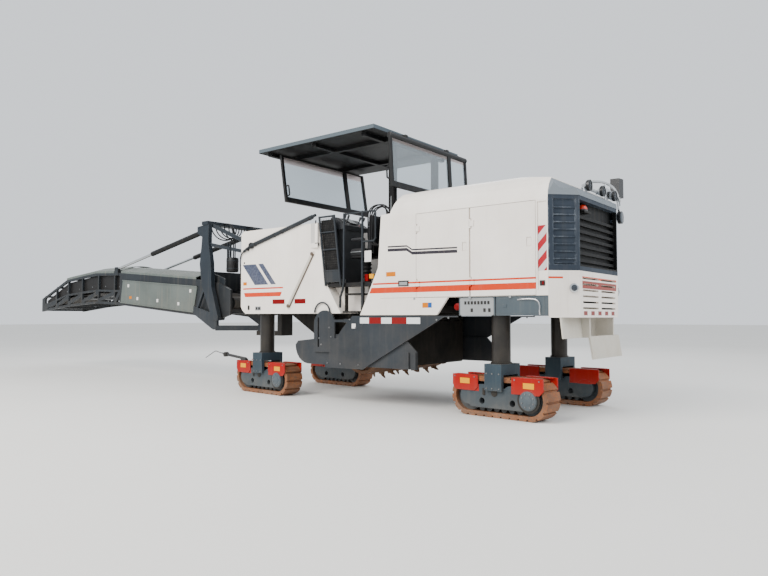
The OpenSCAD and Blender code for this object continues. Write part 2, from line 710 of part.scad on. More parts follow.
module consoles() {
    color(dark) both() {
        sheet(seat_y - 260, seat_y + 260)
            polygon([[3610, floor_z + seat_gap], [3760, floor_z + seat_gap], [3760, floor_z + 500],
                     [3800, floor_z + 900], [3580, floor_z + 900], [3610, floor_z + 500]]);
        plate([[3540, floor_z + 895], [3820, floor_z + 895], [3860, floor_z + 960], [3600, floor_z + 1120],
               [3560, floor_z + 1100]], seat_y - 320, seat_y + 320);
        // levers on the sloping panel
        for (y = lever_y) {
            rod([3760, y, floor_z + 1000], [3810, y, floor_z + 1110], 11);
            rod([3800, y, floor_z + 1088], [3825, y, floor_z + 1143], 19);
        }
    }
}
// Railings: a gate that leans forwards, posts beside the steps and a grab loop
rail_y = nose_half + rail_r + seat_gap;
rail_top = deck_z + 1630;
gate_x = [3548, 3880];
gate_lean = 145;
post_xs = [3953, 4340];
tube_y = nose_half + 24.5 + seat_gap;
function tube_z(x) = lookup(x, [[1700, deck_z + 1270], [3320, deck_z + 1678]]);
function gate_at(x, z) = [x - gate_lean * (z - floor_z) / (rail_top - floor_z), rail_y, z];
module railings() {
    color(dark) both() {
        for (x = gate_x) rod(gate_at(x, floor_z - 40), gate_at(x, rail_top + 14), rail_r);
        rod(gate_at(gate_x[0], rail_top), gate_at(gate_x[1], rail_top), rail_r - 3);
        for (z = [floor_z + 210, floor_z + 560, floor_z + 850])
            rod(gate_at(gate_x[0], z), gate_at(gate_x[1], z), rail_r - 5);
        sheet(rail_y - 6, rail_y + 6)
            polygon([for (p = [gate_at(gate_x[0], floor_z + 20), gate_at(gate_x[1], floor_z + 20),
                               gate_at(gate_x[1], floor_z + 200), gate_at(gate_x[0], floor_z + 200)]) [p[0], p[2]]]);
        // front post of the steps, bent under the platform, and rear post with the grab loop
        bent_tube([[post_xs[0], rail_y, rail_top + 14], [post_xs[0], rail_y, floor_z + 20], [post_xs[0] - 25, rail_y, floor_z - 110],
                   [post_xs[0] - 75, rail_y, floor_z - 220], [post_xs[0] - 83, rail_y, deck_z + 120]], rail_r);
        rod([post_xs[1], rail_y, deck_z + 140], [post_xs[1], rail_y, rail_top + 20], rail_r);
        rod([post_xs[0], rail_y, rail_top], [post_xs[1], rail_y, rail_top], rail_r - 5);
        bent_tube([[post_xs[1], rail_y, rail_top], [post_xs[1] + 235, rail_y, rail_top],
                   [post_xs[1] + 265, rail_y, rail_top - 40], [post_xs[1] + 265, rail_y, rail_top - 430],
                   [post_xs[1] + 235, rail_y, rail_top - 470], [post_xs[1], rail_y, rail_top - 470]], rail_r - 4);
        // feet of the posts on the platform
        for (x = [gate_x[0] + 36, gate_x[1], post_xs[0], post_xs[1]])
            box(x - 30, x + 30, rail_y - 60, rail_y - 8, floor_z + seat_gap, floor_z + 60);
        // dust tube along the top of the front body
        bent_tube([[1495, tube_y, 2575], [1700, tube_y, tube_z(1700)],
                   [3320, tube_y, tube_z(3320)]], 24);
        for (x = [1760, 2500]) box(x, x + 36, nose_half + seat_gap, tube_y, tube_z(x) - 34, tube_z(x) + 34);
    }
}
// Steps in the well below the platform, and the bars beside them
steps_at = [[3935, deck_z + 36], [4000, deck_z + 320]];
step_t = 30;
module step_bar(x, z0, z1) {
    box(x, x + 20, half_w - 120, half_w - 50, z0 + seat_gap, z1 - seat_gap);
}
module steps() {
    color(dark) both() {
        for (step = steps_at) difference() {
            box(step[0], step[0] + 310, well_y, half_w - 10, step[1], step[1] + step_t);
            for (i = [0 : 4], y = [well_y + 40, well_y + 130])
                box(step[0] + 30 + i * 52, step[0] + 62 + i * 52, y, y + 60, step[1] - 5, step[1] + 40);
        }
        step_bar(3945, steps_at[0][1] + step_t, floor_z - 60);
        step_bar(4285, steps_at[1][1] + step_t, floor_z - 60);
        step_bar(4285, deck_z + 40, steps_at[1][1]);
    }
}
// Round work lamp that looks to the rear
module work_lamp(r) {
    rotate([0, 90, 0]) rotate_extrude() polygon([[0, -45], [r * 0.45, -45], [r * 0.9, 5], [r, 25], [r, 55],
                                                 [r * 0.88, 55], [r * 0.88, 46], [0, 46]]);
}
module light_bar() {
    x = hood_x1 + 200;
    z = cap_z + 100;
    color(pale) {
        for (y = [-430, 370]) translate([x, y, cap_z + seat_gap]) cylinder(r = 20, h = 110);
        bent_tube([[x, -560, z - 30], [x, -480, z], [x, 640, z], [x, 760, z + 60]], 22);
        for (y = [-530, -10, 470]) {
            translate([x + 45, y, z + 5]) work_lamp(78);
            box(x - 20, x + 15, y - 14, y + 14, z - 30, z + 30);
        }
        // mirror housing and round mirror at the right
        translate([x - 70, 730, z + 30]) linear_extrude(290) polygon([[0, 0], [130, 10], [150, 150], [30, 190]]);
        rod([x, 800, z + 60], [x + 40, 800, cap_z - 130], 14);
        translate([x + 22, 815, cap_z - 170]) rotate([0, 90, 0]) cylinder(r = 95, h = 50);
        // beacon on its shelf in the grille
        translate([beacon[0], beacon[1], beacon[2] + seat_gap]) cylinder(r = beacon_r + 4, h = 30);
        translate([beacon[0], beacon[1], beacon[2] + 28]) rotate_extrude()
            polygon(concat([[0, 0]], [for (a = [0 : 15 : 75]) beacon_r * [cos(a), sin(a)]], [[0, beacon_r * sin(75)]]));
    }
}

// Canopy, which runs down its posts for transport
roof_z = deck_z + roof_rise;
roof_x = post_x + roof_tail - roof_len;
roof_under = roof_z - roof_t;
beam_h = 60;
canopy_travel = 400;
module canopy_roof() {
    color(dark) {
        box(roof_x, roof_x + roof_len, -half_w, half_w, roof_under, roof_z);
        both() {
            box(post_x - post_a / 2, post_x + post_a / 2, post_y - post_a / 2, post_y + post_a / 2,
                floor_z + 30 + canopy_travel, roof_under);
            box(roof_x + 120, post_x, post_y - 40, post_y + 40, roof_under - beam_h, roof_under + 1);
        }
        for (x = [roof_x + 150, roof_x + roof_len / 2 - 85, roof_x + roof_len - 320])
            box(x, x + 80, -half_w + 90, half_w - 90, roof_under - beam_h, roof_under + 1);
    }
}
module canopy_panes() {
    color(pale) {
        pane(roof_x + 420, roof_x + 560, deck_z + 2010);
        pane(roof_x + roof_len + 200, roof_x + roof_len + 250, deck_z + 2000);
        rod([roof_x + roof_len + 200, -half_w + 150, roof_under - 105], [roof_x + roof_len + 200, half_w - 90, roof_under - 105], 42);
        both() box(roof_x + roof_len - 40, roof_x + roof_len + 190, post_y - 40, post_y + 40, roof_under - 130,
                   roof_under - seat_gap);
    }
}
module pane(x0, x1, z0) {
    z1 = roof_under - beam_h - seat_gap;
    difference() {
        plate([[x1 - 25, z0], [x1 + 25, z0], [x0 + 25, z1], [x0 - 25, z1]], -half_w + 130, half_w - 70);
        for (y = [[-half_w + 190, 560], [640, half_w - 120]]) box(x0 - 200, x1 + 200, y[0], y[1], z0 + 60, z1 - 60);
    }
    plate([[x1 - 4, z0 + 20], [x1 + 4, z0 + 20], [x0 + 4, z1 - 20], [x0 - 4, z1 - 20]], -half_w + 150, half_w - 90);
}

// Slewing frame with the mast that holds the conveyor up
pivot = [20, 0, 1350];
mast_top = [-520, 0, 3190];
mast_y = truss_y + 90;
cyl_y = truss_y - truss_t / 2;
mast_pin_r = 28;
mast_head = 110;
mast_post_x = -320;
arm_z = pivot_low_z + 90;
module slew_frame() {
    color(steel) {
        difference() {
            union() {
                translate([slew_x, 0, arm_z + seat_gap]) cylinder(r = 170, h = 125);
                both() {
                    reach = norm([slew_x, mast_y]) - 110;
                    translate([slew_x, 0, arm_z + seat_gap + 5]) rotate([0, 0, 180 - atan2(mast_y, slew_x)])
                        translate([110, -55, 0]) cube([reach, 110, 105]);
                }
            }
            translate([slew_x, 0, arm_z - 10]) cylinder(r = slew_pin_r + pin_gap, h = 150);
        }
        both() {
            plate([[60, arm_z + 25], [60, pivot[2] + 80], [-60, pivot[2] + 90], [-720, 1600], [-720, 1440],
                   [-60, arm_z + 25]], mast_y - 30, mast_y + 30);
            // post that widens to its middle, with an ear for the lift cylinder and a leg to each side
            plate([[110, pivot[2] - 50], [110, pivot[2] + 40], [-105, 1990], [-130, 2480], [-215, 2900],
                   [-215, mast_top[2] + mast_head], [mast_top[0] - 70, mast_top[2] + 70],
                   [mast_top[0] - 70, mast_top[2] - 60], [-430, mast_top[2] - 150], [-440, 2900], [-500, 2480],
                   [-430, 2040], [-60, pivot[2] - 50]], mast_y - 45, mast_y + 45);
            square_tube([-330, mast_y, 2060], [-640, mast_y, 1490], 52);
            rod([pivot[0], truss_y - truss_t - 40, pivot[2]], [pivot[0], mast_y, pivot[2]], 45);
            rod([mast_top[0], cyl_y - 40, mast_top[2]], [mast_top[0], mast_y + 10, mast_top[2]], mast_pin_r);
        }
        box(mast_post_x - 105, mast_post_x + 95, -mast_y - 60, mast_y + 60, mast_top[2] + mast_head - 15,
            mast_top[2] + mast_head + 60);
        difference() {
            union() {
                translate([slew_x, 0, pivot_high_z - 210]) cylinder(r = 120, h = 210 - seat_gap);
                both() {
                    square_tube([mast_post_x, mast_y - 60, mast_top[2] + mast_head + 15],
                                [slew_x - 75, 60, pivot_high_z - 55], 80);
                    square_tube([mast_post_x + 50, mast_y - 20, 2880], [slew_x - 80, 65, pivot_high_z - 160], 70);
                }
            }
            translate([slew_x, 0, pivot_high_z - 250]) cylinder(r = top_pin_r + pin_gap, h = 280);
        }
    }
}

// Conveyor truss outlines: x, top of the side, bottom of the side
stations = [[-tip_x, 1870, 1520], [-6400, 2350, 1640], [-4950, 2470, 1710], [-3760, 2430, 1660],
            [-740, 2170, 1400], [0, 2060, 1330], [340, 1920, 1420]];
function top_at(x) = lookup(x, [for (s = stations) [s[0], s[1]]]);
function low_at(x) = lookup(x, [for (s = stations) [s[0], s[2]]]);
function mid_at(x) = (top_at(x) + low_at(x)) / 2 - 50;
chord = 60;
rail_h = 24;
brace = 70;
belt_t = 16;
ear_gap = 44;
eye_hole_r = 20;
bay_x = [-7610, -6950, -6310, -5590, -4790, -4040, -3780];
// Truss side: upper row of open bays, mid rail, lower row with a brace in each bay
module truss_side() {
    difference() {
        polygon(concat([for (s = stations) [s[0], s[1]]],
                       [for (i = [len(stations) - 1 : -1 : 0]) [stations[i][0], stations[i][2]]]));
        for (i = [0 : len(bay_x) - 2]) {
            a = bay_x[i] + 22;
            b = bay_x[i + 1] - 22;
            polygon([[a, mid_at(a) + rail_h], [a, top_at(a) - chord], [b, top_at(b) - chord],
                     [b, mid_at(b) + rail_h]]);
            polygon([[a, low_at(a) + chord + brace], [a, mid_at(a) - rail_h],
                     [b - min(brace, (b - a) / 3), mid_at(b) - rail_h]]);
            polygon([[a + min(brace, (b - a) / 3), low_at(a) + chord], [b, low_at(b) + chord],
                     [b, mid_at(b) - rail_h - brace]]);
        }
    }
}
module conveyor_frame() {
    color(steel) {
        both() difference() {
            translate([0, truss_y, 0]) rotate([90, 0, 0]) linear_extrude(truss_t) truss_side();
            translate([pivot[0], truss_y + 10, pivot[2]]) rotate([90, 0, 0])
                cylinder(r = 45 + pin_gap, h = truss_t + 20);
        }
        for (x = bay_x) {
            box(x - 30, x + 30, -truss_y + 10, truss_y - 10, low_at(x) + 5, low_at(x) + 65);
            box(x - 20, x + 20, -truss_y + 20, truss_y - 20, top_at(x) - 20, top_at(x) + 30);
        }
        // hopper walls over the tail of the belt
        both() plate([[-430, 2080], [120, 1975], [120, 2150], [-430, 2330]], truss_y - truss_t - 15, truss_y - truss_t + 10);
        box(-455, -430, -truss_y + truss_t - 10, truss_y - truss_t + 10, 1950, 2330);
        box(-700, 300, -truss_y + 10, truss_y - 10, 1440, 1470);
        // head and tail pulleys with their shafts
        for (p = [belt_head, belt_tail]) translate([p[0], 0, p[1]]) rotate([90, 0, 0]) {
            cylinder(r = (pulley_r - belt_t) * cos(belt_step / 2) - seat_gap, h = belt_w, center = true);
            cylinder(r = 35, h = 2 * truss_y - 10, center = true);
        }
        // forks that take the lift cylinders' rods
        both() difference() {
            for (y = [cyl_y - ear_gap / 2 - 14, cyl_y + ear_gap / 2])
                plate([[eye[0] - 90, eye[2] - 150], [eye[0] + 90, eye[2] - 150], [eye[0] + 60, eye[2] + 50],
                       [eye[0] - 60, eye[2] + 50]], y, y + 14);
            translate([eye[0], truss_y + 60, eye[2]]) rotate([90, 0, 0]) cylinder(r = eye_hole_r, h = 200);
        }
    }
}
belt_path = [[-7560, 1720], [-6380, 2010], [-4940, 2090], [-3700, 2040], [-700, 1780], [200, 1650]];
belt_step = 15;
belt_n = len(belt_path);
belt_head = belt_path[0];
belt_tail = belt_path[belt_n - 1];
function belt_tilt(i) = atan2(belt_path[i + 1][1] - belt_path[i][1], belt_path[i + 1][0] - belt_path[i][0]);
module belt_outline(r) {
    a0 = belt_tilt(0);
    a1 = belt_tilt(belt_n - 2);
    polygon(concat(
        [for (i = [1 : belt_n - 2]) belt_path[i] + [0, r]],
        [for (a = [a1 + 90 : -belt_step : a1 - 90]) belt_tail + r * [cos(a), sin(a)]],
        [for (i = [belt_n - 2 : -1 : 1]) belt_path[i] - [0, r]],
        [for (a = [a0 - 90 : -belt_step : a0 - 270]) belt_head + r * [cos(a), sin(a)]]));
}
module conveyor_belt() {
    color(dark) translate([0, belt_w / 2, 0]) rotate([90, 0, 0]) linear_extrude(belt_w) difference() {
        belt_outline(pulley_r);
        belt_outline(pulley_r - belt_t);
    }
}
// Arched belt covers: from, to, half width, height above the truss
cover_runs = [[-6400, -4950, truss_y, 0], [-4950, -4070, truss_y, 0], [-4060, -3766, truss_y - 80, 31],
              [-3755, -800, truss_y, 0]];
cover_t = 12;
cover_rise = 120;
cover_curb = 45;
module cover_arch(run_x) {
    half = run_x[2];
    x0 = run_x[0] + 3;
    x1 = run_x[1] - 3;
    arch_r = (half * half + cover_rise * cover_rise) / (2 * cover_rise);
    d = [x1 - x0, top_at(x1) - top_at(x0)];
    translate([x0, 0, top_at(x0) + run_x[3] + seat_gap]) rotate([0, -atan2(d[1], d[0]), 0]) rotate([90, 0, 90])
        linear_extrude(norm(d)) difference() {
            intersection() {
                translate([0, cover_curb + cover_rise - arch_r]) circle(arch_r);
                translate([-half, 0]) square([2 * half, 2 * cover_rise]);
            }
            intersection() {
                translate([0, cover_curb + cover_rise - arch_r]) circle(arch_r - cover_t);
                translate([-half + cover_t, -10]) square([2 * (half - cover_t), 2 * cover_rise]);
            }
        }
}
module conveyor_covers() {
    color(pale) {
        for (run_x = cover_runs) cover_arch(run_x);
        both() {
            plate([[-3640, 2235], [-740, 2005], [-860, 1465], [-3720, 1710]], truss_y + seat_gap, truss_y + 20);
            // folded rims of the side panel
            for (edge = [[[-3640, 2235], [-740, 2005]], [[-3720, 1710], [-860, 1465]]])
                plate([edge[0], edge[1], edge[1] + [0, 22], edge[0] + [0, 22]], truss_y + 10, truss_y + 32);
        }
    }
}

// Lift cylinders between the mast and the conveyor
eye = [-3960, 0, 2530];
cyl_dir = (eye - mast_top) / norm(eye - mast_top);
module lift_barrel() {
    a = mast_top + [0, cyl_y, 0];
    color(dark) difference() {
        union() {
            rod(a + 40 * cyl_dir, a + 1990 * cyl_dir, barrel_r);
            translate(a) rotate([90, 0, 0]) cylinder(r = 70, h = 60, center = true);
        }
        rod(a + 250 * cyl_dir, a + 2100 * cyl_dir, ram_r + pin_gap);
        translate(a) rotate([90, 0, 0]) cylinder(r = mast_pin_r + pin_gap, h = 140, center = true);
    }
}
module lift_rod() {
    a = mast_top + [0, cyl_y, 0];
    b = eye + [0, cyl_y, 0];
    color(pale) difference() {
        union() {
            rod(a + 1050 * cyl_dir, b - 170 * cyl_dir, ram_r);
            rod(b - 190 * cyl_dir, b, ear_gap / 2 - 4);
            translate(b) rotate([90, 0, 0]) cylinder(r = 50, h = ear_gap - 4, center = true);
        }
    }
}

// Edge protection plates beside the drum, and the scraper behind it
// Skid plate with a round front, which runs on guides beside the drum
edge_front = 3150;
edge_end = 5370;
edge_low = drum_z - 250;
edge_nose_r = 310;
module edge_plate() {
    color(steel) {
        sheet(edge_y, edge_y + 30) polygon(concat(
            [for (a = [180 : 15 : 270]) [edge_front, edge_low + edge_nose_r] + edge_nose_r * [cos(a), sin(a)]],
            [[edge_end, edge_low], [edge_end, edge_low + 260], [edge_end - 170, edge_low + 420],
             [edge_front + 150, edge_low + 420], [edge_front - 250, edge_low + 380]]));
        for (x = [edge_end - 160, edge_end - 34]) box(x, x + 30, edge_y + 29, edge_y + 56, edge_low + 10, edge_low + 250);
    }
}
module scraper() {
    x = scraper_pin[0];
    color(steel) difference() {
        union() {
            plate([[x - 42, scraper_pin[2] - 50], [x + 10, scraper_pin[2] - 50], [x + 10, drum_z - 225],
                   [x - 10, drum_z - 255], [x - 42, drum_z - 255]], -cut_w / 2, cut_w / 2);
            for (y = [-640, 0, 640]) {
                translate([x, y + 80, scraper_pin[2]]) rotate([90, 0, 0]) cylinder(r = scraper_pin_r + 16, h = 160);
                box(x - 34, x + 10, y - 80, y + 80, scraper_pin[2] - 60, scraper_pin[2] - 20);
            }
        }
        translate([x, cut_w / 2, scraper_pin[2]]) rotate([90, 0, 0]) cylinder(r = scraper_pin_r + pin_gap, h = cut_w);
    }
}

main_frame();
leg_sleeves();
outriggers();
drum_housing();
side_plates();
primary_conveyor();
front_body();
hood();
engine_block();
rear_grille();
rear_panel();
rear_skirt();
side_boxes();
platform();
seats();
consoles();
railings();
steps();
light_bar();
on_side(-1) door(door_x, door_mid_x, true);  // door_left_front
on_side(-1) door(door_mid_x, door_end_x, false);  // door_left_rear
on_side(1) door(door_x, door_mid_x, true);  // door_right_front
on_side(1) door(door_mid_x, door_end_x, false);  // door_right_rear
canopy_roof();
canopy_panes();
slew_frame();
conveyor_frame();
conveyor_belt();
conveyor_covers();
on_side(-1) lift_barrel();  // lift_barrel_left
on_side(1) lift_barrel();  // lift_barrel_right
on_side(-1) lift_rod();  // lift_rod_left
on_side(1) lift_rod();  // lift_rod_right
color(steel) at_leg(front_leg_x, -1) leg();  // leg_front_left
color(steel) at_leg(front_leg_x, 1) leg();  // leg_front_right
color(steel) at_leg(rear_leg_x, -1) leg();  // leg_rear_left
color(steel) at_leg(rear_leg_x, 1) leg();  // leg_rear_right
color(steel) at_unit(front_leg_x, -1) bogie();  // bogie_front_left
color(steel) at_unit(front_leg_x, 1) bogie();  // bogie_front_right
color(steel) at_unit(rear_leg_x, -1) bogie();  // bogie_rear_left
color(steel) at_unit(rear_leg_x, 1) bogie();  // bogie_rear_right
color(rust) at_unit(front_leg_x, -1) track_loop();  // track_front_left
color(rust) at_unit(front_leg_x, 1) track_loop();  // track_front_right
color(rust) at_unit(rear_leg_x, -1) track_loop();  // track_rear_left
color(rust) at_unit(rear_leg_x, 1) track_loop();  // track_rear_right
milling_drum();
on_side(-1) edge_plate();  // edge_plate_left
on_side(1) edge_plate();  // edge_plate_right
scraper();
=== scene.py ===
# Looks of the cold planer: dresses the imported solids, adds glass, seats, lamps, labels and small fittings.
import bpy
import math
from mathutils import Matrix, Vector


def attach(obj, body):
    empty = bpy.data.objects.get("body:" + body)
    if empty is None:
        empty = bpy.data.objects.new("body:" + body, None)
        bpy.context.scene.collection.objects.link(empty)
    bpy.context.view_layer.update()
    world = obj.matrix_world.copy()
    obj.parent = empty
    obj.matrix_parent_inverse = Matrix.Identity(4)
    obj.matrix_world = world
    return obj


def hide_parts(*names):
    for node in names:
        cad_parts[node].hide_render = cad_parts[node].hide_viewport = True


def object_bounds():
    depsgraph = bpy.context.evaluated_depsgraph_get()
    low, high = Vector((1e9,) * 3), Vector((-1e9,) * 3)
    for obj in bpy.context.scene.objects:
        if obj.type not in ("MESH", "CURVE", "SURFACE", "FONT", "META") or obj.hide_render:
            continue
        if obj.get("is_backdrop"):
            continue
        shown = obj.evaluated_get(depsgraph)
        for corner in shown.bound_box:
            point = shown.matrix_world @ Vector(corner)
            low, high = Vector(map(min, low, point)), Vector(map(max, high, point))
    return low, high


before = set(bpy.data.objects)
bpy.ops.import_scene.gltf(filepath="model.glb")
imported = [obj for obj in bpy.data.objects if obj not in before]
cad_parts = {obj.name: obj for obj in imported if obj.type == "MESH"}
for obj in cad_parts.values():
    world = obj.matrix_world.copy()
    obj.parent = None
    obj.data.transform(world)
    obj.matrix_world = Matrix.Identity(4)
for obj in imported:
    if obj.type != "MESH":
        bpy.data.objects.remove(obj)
bpy.ops.object.select_all(action="DESELECT")
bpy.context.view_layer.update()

SIDES = (("left", -1), ("right", 1))
CORNERS = ("front_left", "front_right", "rear_left", "rear_right")


# Camera, floor and light
bpy.ops.object.camera_add(location=(11.0, -9.2, 1.37), rotation=(math.radians(92.52), 0, math.radians(38)))
camera = bpy.context.object
camera.name = "camera"
camera.data.sensor_width = 36.0
camera.data.lens = 30.94
camera.data.clip_end = 400.0
bpy.context.scene.camera = camera


def soft_light(name, place, target, size, power, colour=(1.0, 1.0, 1.0)):
    """A large square lamp that faces its target."""
    bpy.ops.object.light_add(type="AREA", location=place)
    lamp = bpy.context.object
    lamp.name = name
    lamp.data.shape = "SQUARE"
    lamp.data.size = size
    lamp.data.energy = power
    lamp.data.color = colour
    lamp.visible_transmission = False
    lamp.rotation_euler = (Vector(target) - Vector(place)).to_track_quat("-Z", "Y").to_euler()


soft_light("key_light", (1.0, -15.0, 13.0), (3.0, 0.0, 1.8), 12.0, 4200.0, (1.0, 0.97, 0.93))
soft_light("rear_light", (17.0, 3.0, 9.0), (5.0, 0.0, 1.5), 9.0, 900.0, (0.93, 0.96, 1.0))
soft_light("far_light", (-6.0, 14.0, 10.0), (1.0, 0.0, 1.5), 10.0, 900.0, (0.93, 0.96, 1.0))
world = bpy.data.worlds.new("studio")
world.use_nodes = True
world.node_tree.nodes["Background"].inputs["Color"].default_value = (0.86, 0.90, 0.95, 1.0)
world.node_tree.nodes["Background"].inputs["Strength"].default_value = 1.25
bpy.context.scene.world = world


# Nodes of materials
def paint(*screen_colour):
    """A colour given as it looks on a screen, 0 to 255, as the shader wants it."""
    return tuple(((c / 255 + 0.055) / 1.055) ** 2.4 if c > 10 else c / 255 / 12.92
                 for c in screen_colour) + (1.0,)


class Wires:
    """Adds nodes to one tree and joins them."""

    def __init__(self, tree):
        self.tree = tree

    def feed(self, socket, value):
        if isinstance(value, bpy.types.NodeSocket):
            self.tree.links.new(value, socket)
        else:
            socket.default_value = value

    def node(self, kind, feeds=None, **settings):
        made = self.tree.nodes.new("ShaderNode" + kind)
        for word, value in settings.items():
            setattr(made, word, value)
        for socket, value in (feeds or {}).items():
            self.feed(made.inputs[socket], value)
        return made

    def math(self, operation, *values, clamp=False):
        made = self.node("Math", dict(enumerate(values)), operation=operation, use_clamp=clamp)
        return made.outputs[0]

    def product(self, *masks):
        result = masks[0]
        for mask in masks[1:]:
            result = self.math("MULTIPLY", result, mask)
        return result

    def either(self, *masks):
        result = masks[0]
        for mask in masks[1:]:
            result = self.math("MAXIMUM", result, mask)
        return result

    def tint(self, mask, under, over):
        return self.node("Mix", {0: mask, 6: under, 7: over}, data_type="RGBA").outputs[2]

    def ramp(self, value, low, high, at_low=0.0, at_high=1.0):
        return self.node("MapRange", {0: value, 1: low, 2: high, 3: at_low, 4: at_high}).outputs[0]

    def noise(self, where, scale, detail=3.0, roughness=0.55):
        return self.node("TexNoise", {"Vector": where, "Scale": scale, "Detail": detail,
                                      "Roughness": roughness}).outputs["Fac"]

    def xyz(self, vector):
        return self.node("SeparateXYZ", {0: vector}).outputs

    def group(self, name, feeds=None):
        made = self.node("Group", node_tree=bpy.data.node_groups[name])
        for socket, value in (feeds or {}).items():
            self.feed(made.inputs[socket], value)
        return made.outputs

    def between(self, value, low, high):
        return self.group("band", {"Value": value, "From": low, "To": high})["Mask"]

    def slab(self, place, x=None, y=None, z=None):
        """Mask of a box of space, given by its spans along the axes."""
        spans = [(place[i], span) for i, span in enumerate((x, y, z)) if span]
        return self.product(*[self.between(value, *span) for value, span in spans])


def start_group(name, inputs, outputs):
    """A new shader node group; returns its wires, its incoming sockets and its closing node."""
    tree = bpy.data.node_groups.new(name, "ShaderNodeTree")
    for word, kind, value in inputs:
        socket = tree.interface.new_socket(word, in_out="INPUT", socket_type=kind)
        if value is not None:
            socket.default_value = value
    for word, kind in outputs:
        tree.interface.new_socket(word, in_out="OUTPUT", socket_type=kind)
    wires = Wires(tree)
    return wires, tree.nodes.new("NodeGroupInput").outputs, tree.nodes.new("NodeGroupOutput").inputs


FLOAT, VECTOR = "NodeSocketFloat", "NodeSocketVector"

# mask of the values between two numbers
wires, given, closing = start_group(
    "band", [("Value", FLOAT, 0.0), ("From", FLOAT, 0.0), ("To", FLOAT, 1.0)], [("Mask", FLOAT)])
wires.feed(closing["Mask"], wires.product(wires.math("GREATER_THAN", given["Value"], given["From"]),
                                          wires.math("LESS_THAN", given["Value"], given["To"])))

# uneven shade, fine specks and the height of a sprayed surface
wires, given, closing = start_group(
    "grain", [("Where", VECTOR, None), ("Scale", FLOAT, 2.0)],
    [("Shade", FLOAT), ("Speck", FLOAT), ("Height", FLOAT)])
wide = wires.noise(given["Where"], given["Scale"], 4.0, 0.6)
fine = wires.noise(given["Where"], wires.math("MULTIPLY", given["Scale"], 60.0), 2.0, 0.7)
wires.feed(closing["Shade"], wires.ramp(wide, 0.3, 0.7))
wires.feed(closing["Speck"], wires.ramp(fine, 0.55, 0.75))
wires.feed(closing["Height"], wires.math("MULTIPLY_ADD", fine, 0.4, wide))

# paint rubbed off along edges and corners
wires, given, closing = start_group(
    "edge_wear", [("Where", VECTOR, None), ("Reach", FLOAT, 0.01), ("Amount", FLOAT, 0.6)], [("Mask", FLOAT)])
round_normal = wires.node("Bevel", {"Radius": given["Reach"]}, samples=4).outputs[0]
true_normal = wires.node("NewGeometry").outputs["Normal"]
likeness = wires.node("VectorMath", {0: round_normal, 1: true_normal},
                      operation="DOT_PRODUCT").outputs["Value"]
edge = wires.ramp(likeness, 0.98, 0.75)
patches = wires.ramp(wires.noise(given["Where"], 9.0, 5.0, 0.7), 0.42, 0.62)
wires.feed(closing["Mask"], wires.product(edge, patches, given["Amount"]))

# dust: thick low down and on what faces up, thin elsewhere
wires, given, closing = start_group(
    "dust", [("Where", VECTOR, None), ("Full", FLOAT, 0.2), ("Gone", FLOAT, 2.0), ("Amount", FLOAT, 0.5)],
    [("Mask", FLOAT)])
height = wires.xyz(given["Where"])[2]
faces_up = wires.xyz(wires.node("NewGeometry").outputs["Normal"])[2]
low_dust = wires.ramp(height, given["Full"], given["Gone"], 1.0, 0.0)
top_dust = wires.ramp(faces_up, 0.5, 1.0, 0.0, 0.55)
clouds = wires.ramp(wires.noise(given["Where"], 2.6, 6.0, 0.65), 0.32, 0.68, 0.25, 1.0)
wires.feed(closing["Mask"], wires.math("MULTIPLY", wires.product(wires.either(low_dust, top_dust), clouds),
                                       given["Amount"], clamp=True))

# rain streaks that run down a wall
wires, given, closing = start_group(
    "streaks", [("Where", VECTOR, None), ("Amount", FLOAT, 0.3)], [("Mask", FLOAT)])
drawn_down = wires.node("Mapping", {"Vector": given["Where"], "Scale": (9.0, 9.0, 0.5)}).outputs[0]
runs = wires.noise(drawn_down, 1.6, 4.0, 0.6)
wires.feed(closing["Mask"], wires.math("MULTIPLY", wires.ramp(runs, 0.52, 0.78), given["Amount"]))

# rust in blotches, with a second tone
wires, given, closing = start_group(
    "rust", [("Where", VECTOR, None), ("Scale", FLOAT, 5.0), ("Cover", FLOAT, 0.5)],
    [("Mask", FLOAT), ("Tone", FLOAT), ("Height", FLOAT)])
blotch = wires.noise(given["Where"], given["Scale"], 6.0, 0.7)
pits = wires.noise(given["Where"], wires.math("MULTIPLY", given["Scale"], 14.0), 4.0, 0.7)
lower = wires.ramp(given["Cover"], 0.0, 1.0, 0.75, 0.2)
wires.feed(closing["Mask"], wires.ramp(blotch, lower, wires.math("ADD", lower, 0.12)))
wires.feed(closing["Tone"], wires.ramp(pits, 0.35, 0.68))
wires.feed(closing["Height"], wires.math("ADD", pits, blotch))

# place on a track unit: along it from the column's axis, and across it, outwards
LEG_XS, LEG_Y = (1.88, 6.64), 0.985
PARK = math.radians(6)  # how far the parked track units are steered
wires, given, closing = start_group(
    "track_place", [("Where", VECTOR, None)], [("Along", FLOAT), ("Across", FLOAT)])
x, y, z = wires.xyz(given["Where"])
middle, reach = sum(LEG_XS) / 2, (LEG_XS[1] - LEG_XS[0]) / 2
back_x = wires.math("SUBTRACT", x, wires.ramp(x, middle - 0.01, middle + 0.01, LEG_XS[0], LEG_XS[1]))
back_y = wires.math("SUBTRACT", y, wires.math("MULTIPLY", wires.math("SIGN", y), LEG_Y))
cos_park, sin_park = math.cos(PARK), math.sin(PARK)
wires.feed(closing["Along"], wires.math("SUBTRACT", wires.math("MULTIPLY", back_x, cos_park),
                                        wires.math("MULTIPLY", back_y, sin_park)))
wires.feed(closing["Across"], wires.math("ABSOLUTE", wires.math(
    "ADD", wires.math("MULTIPLY", back_x, sin_park), wires.math("MULTIPLY", back_y, cos_park))))

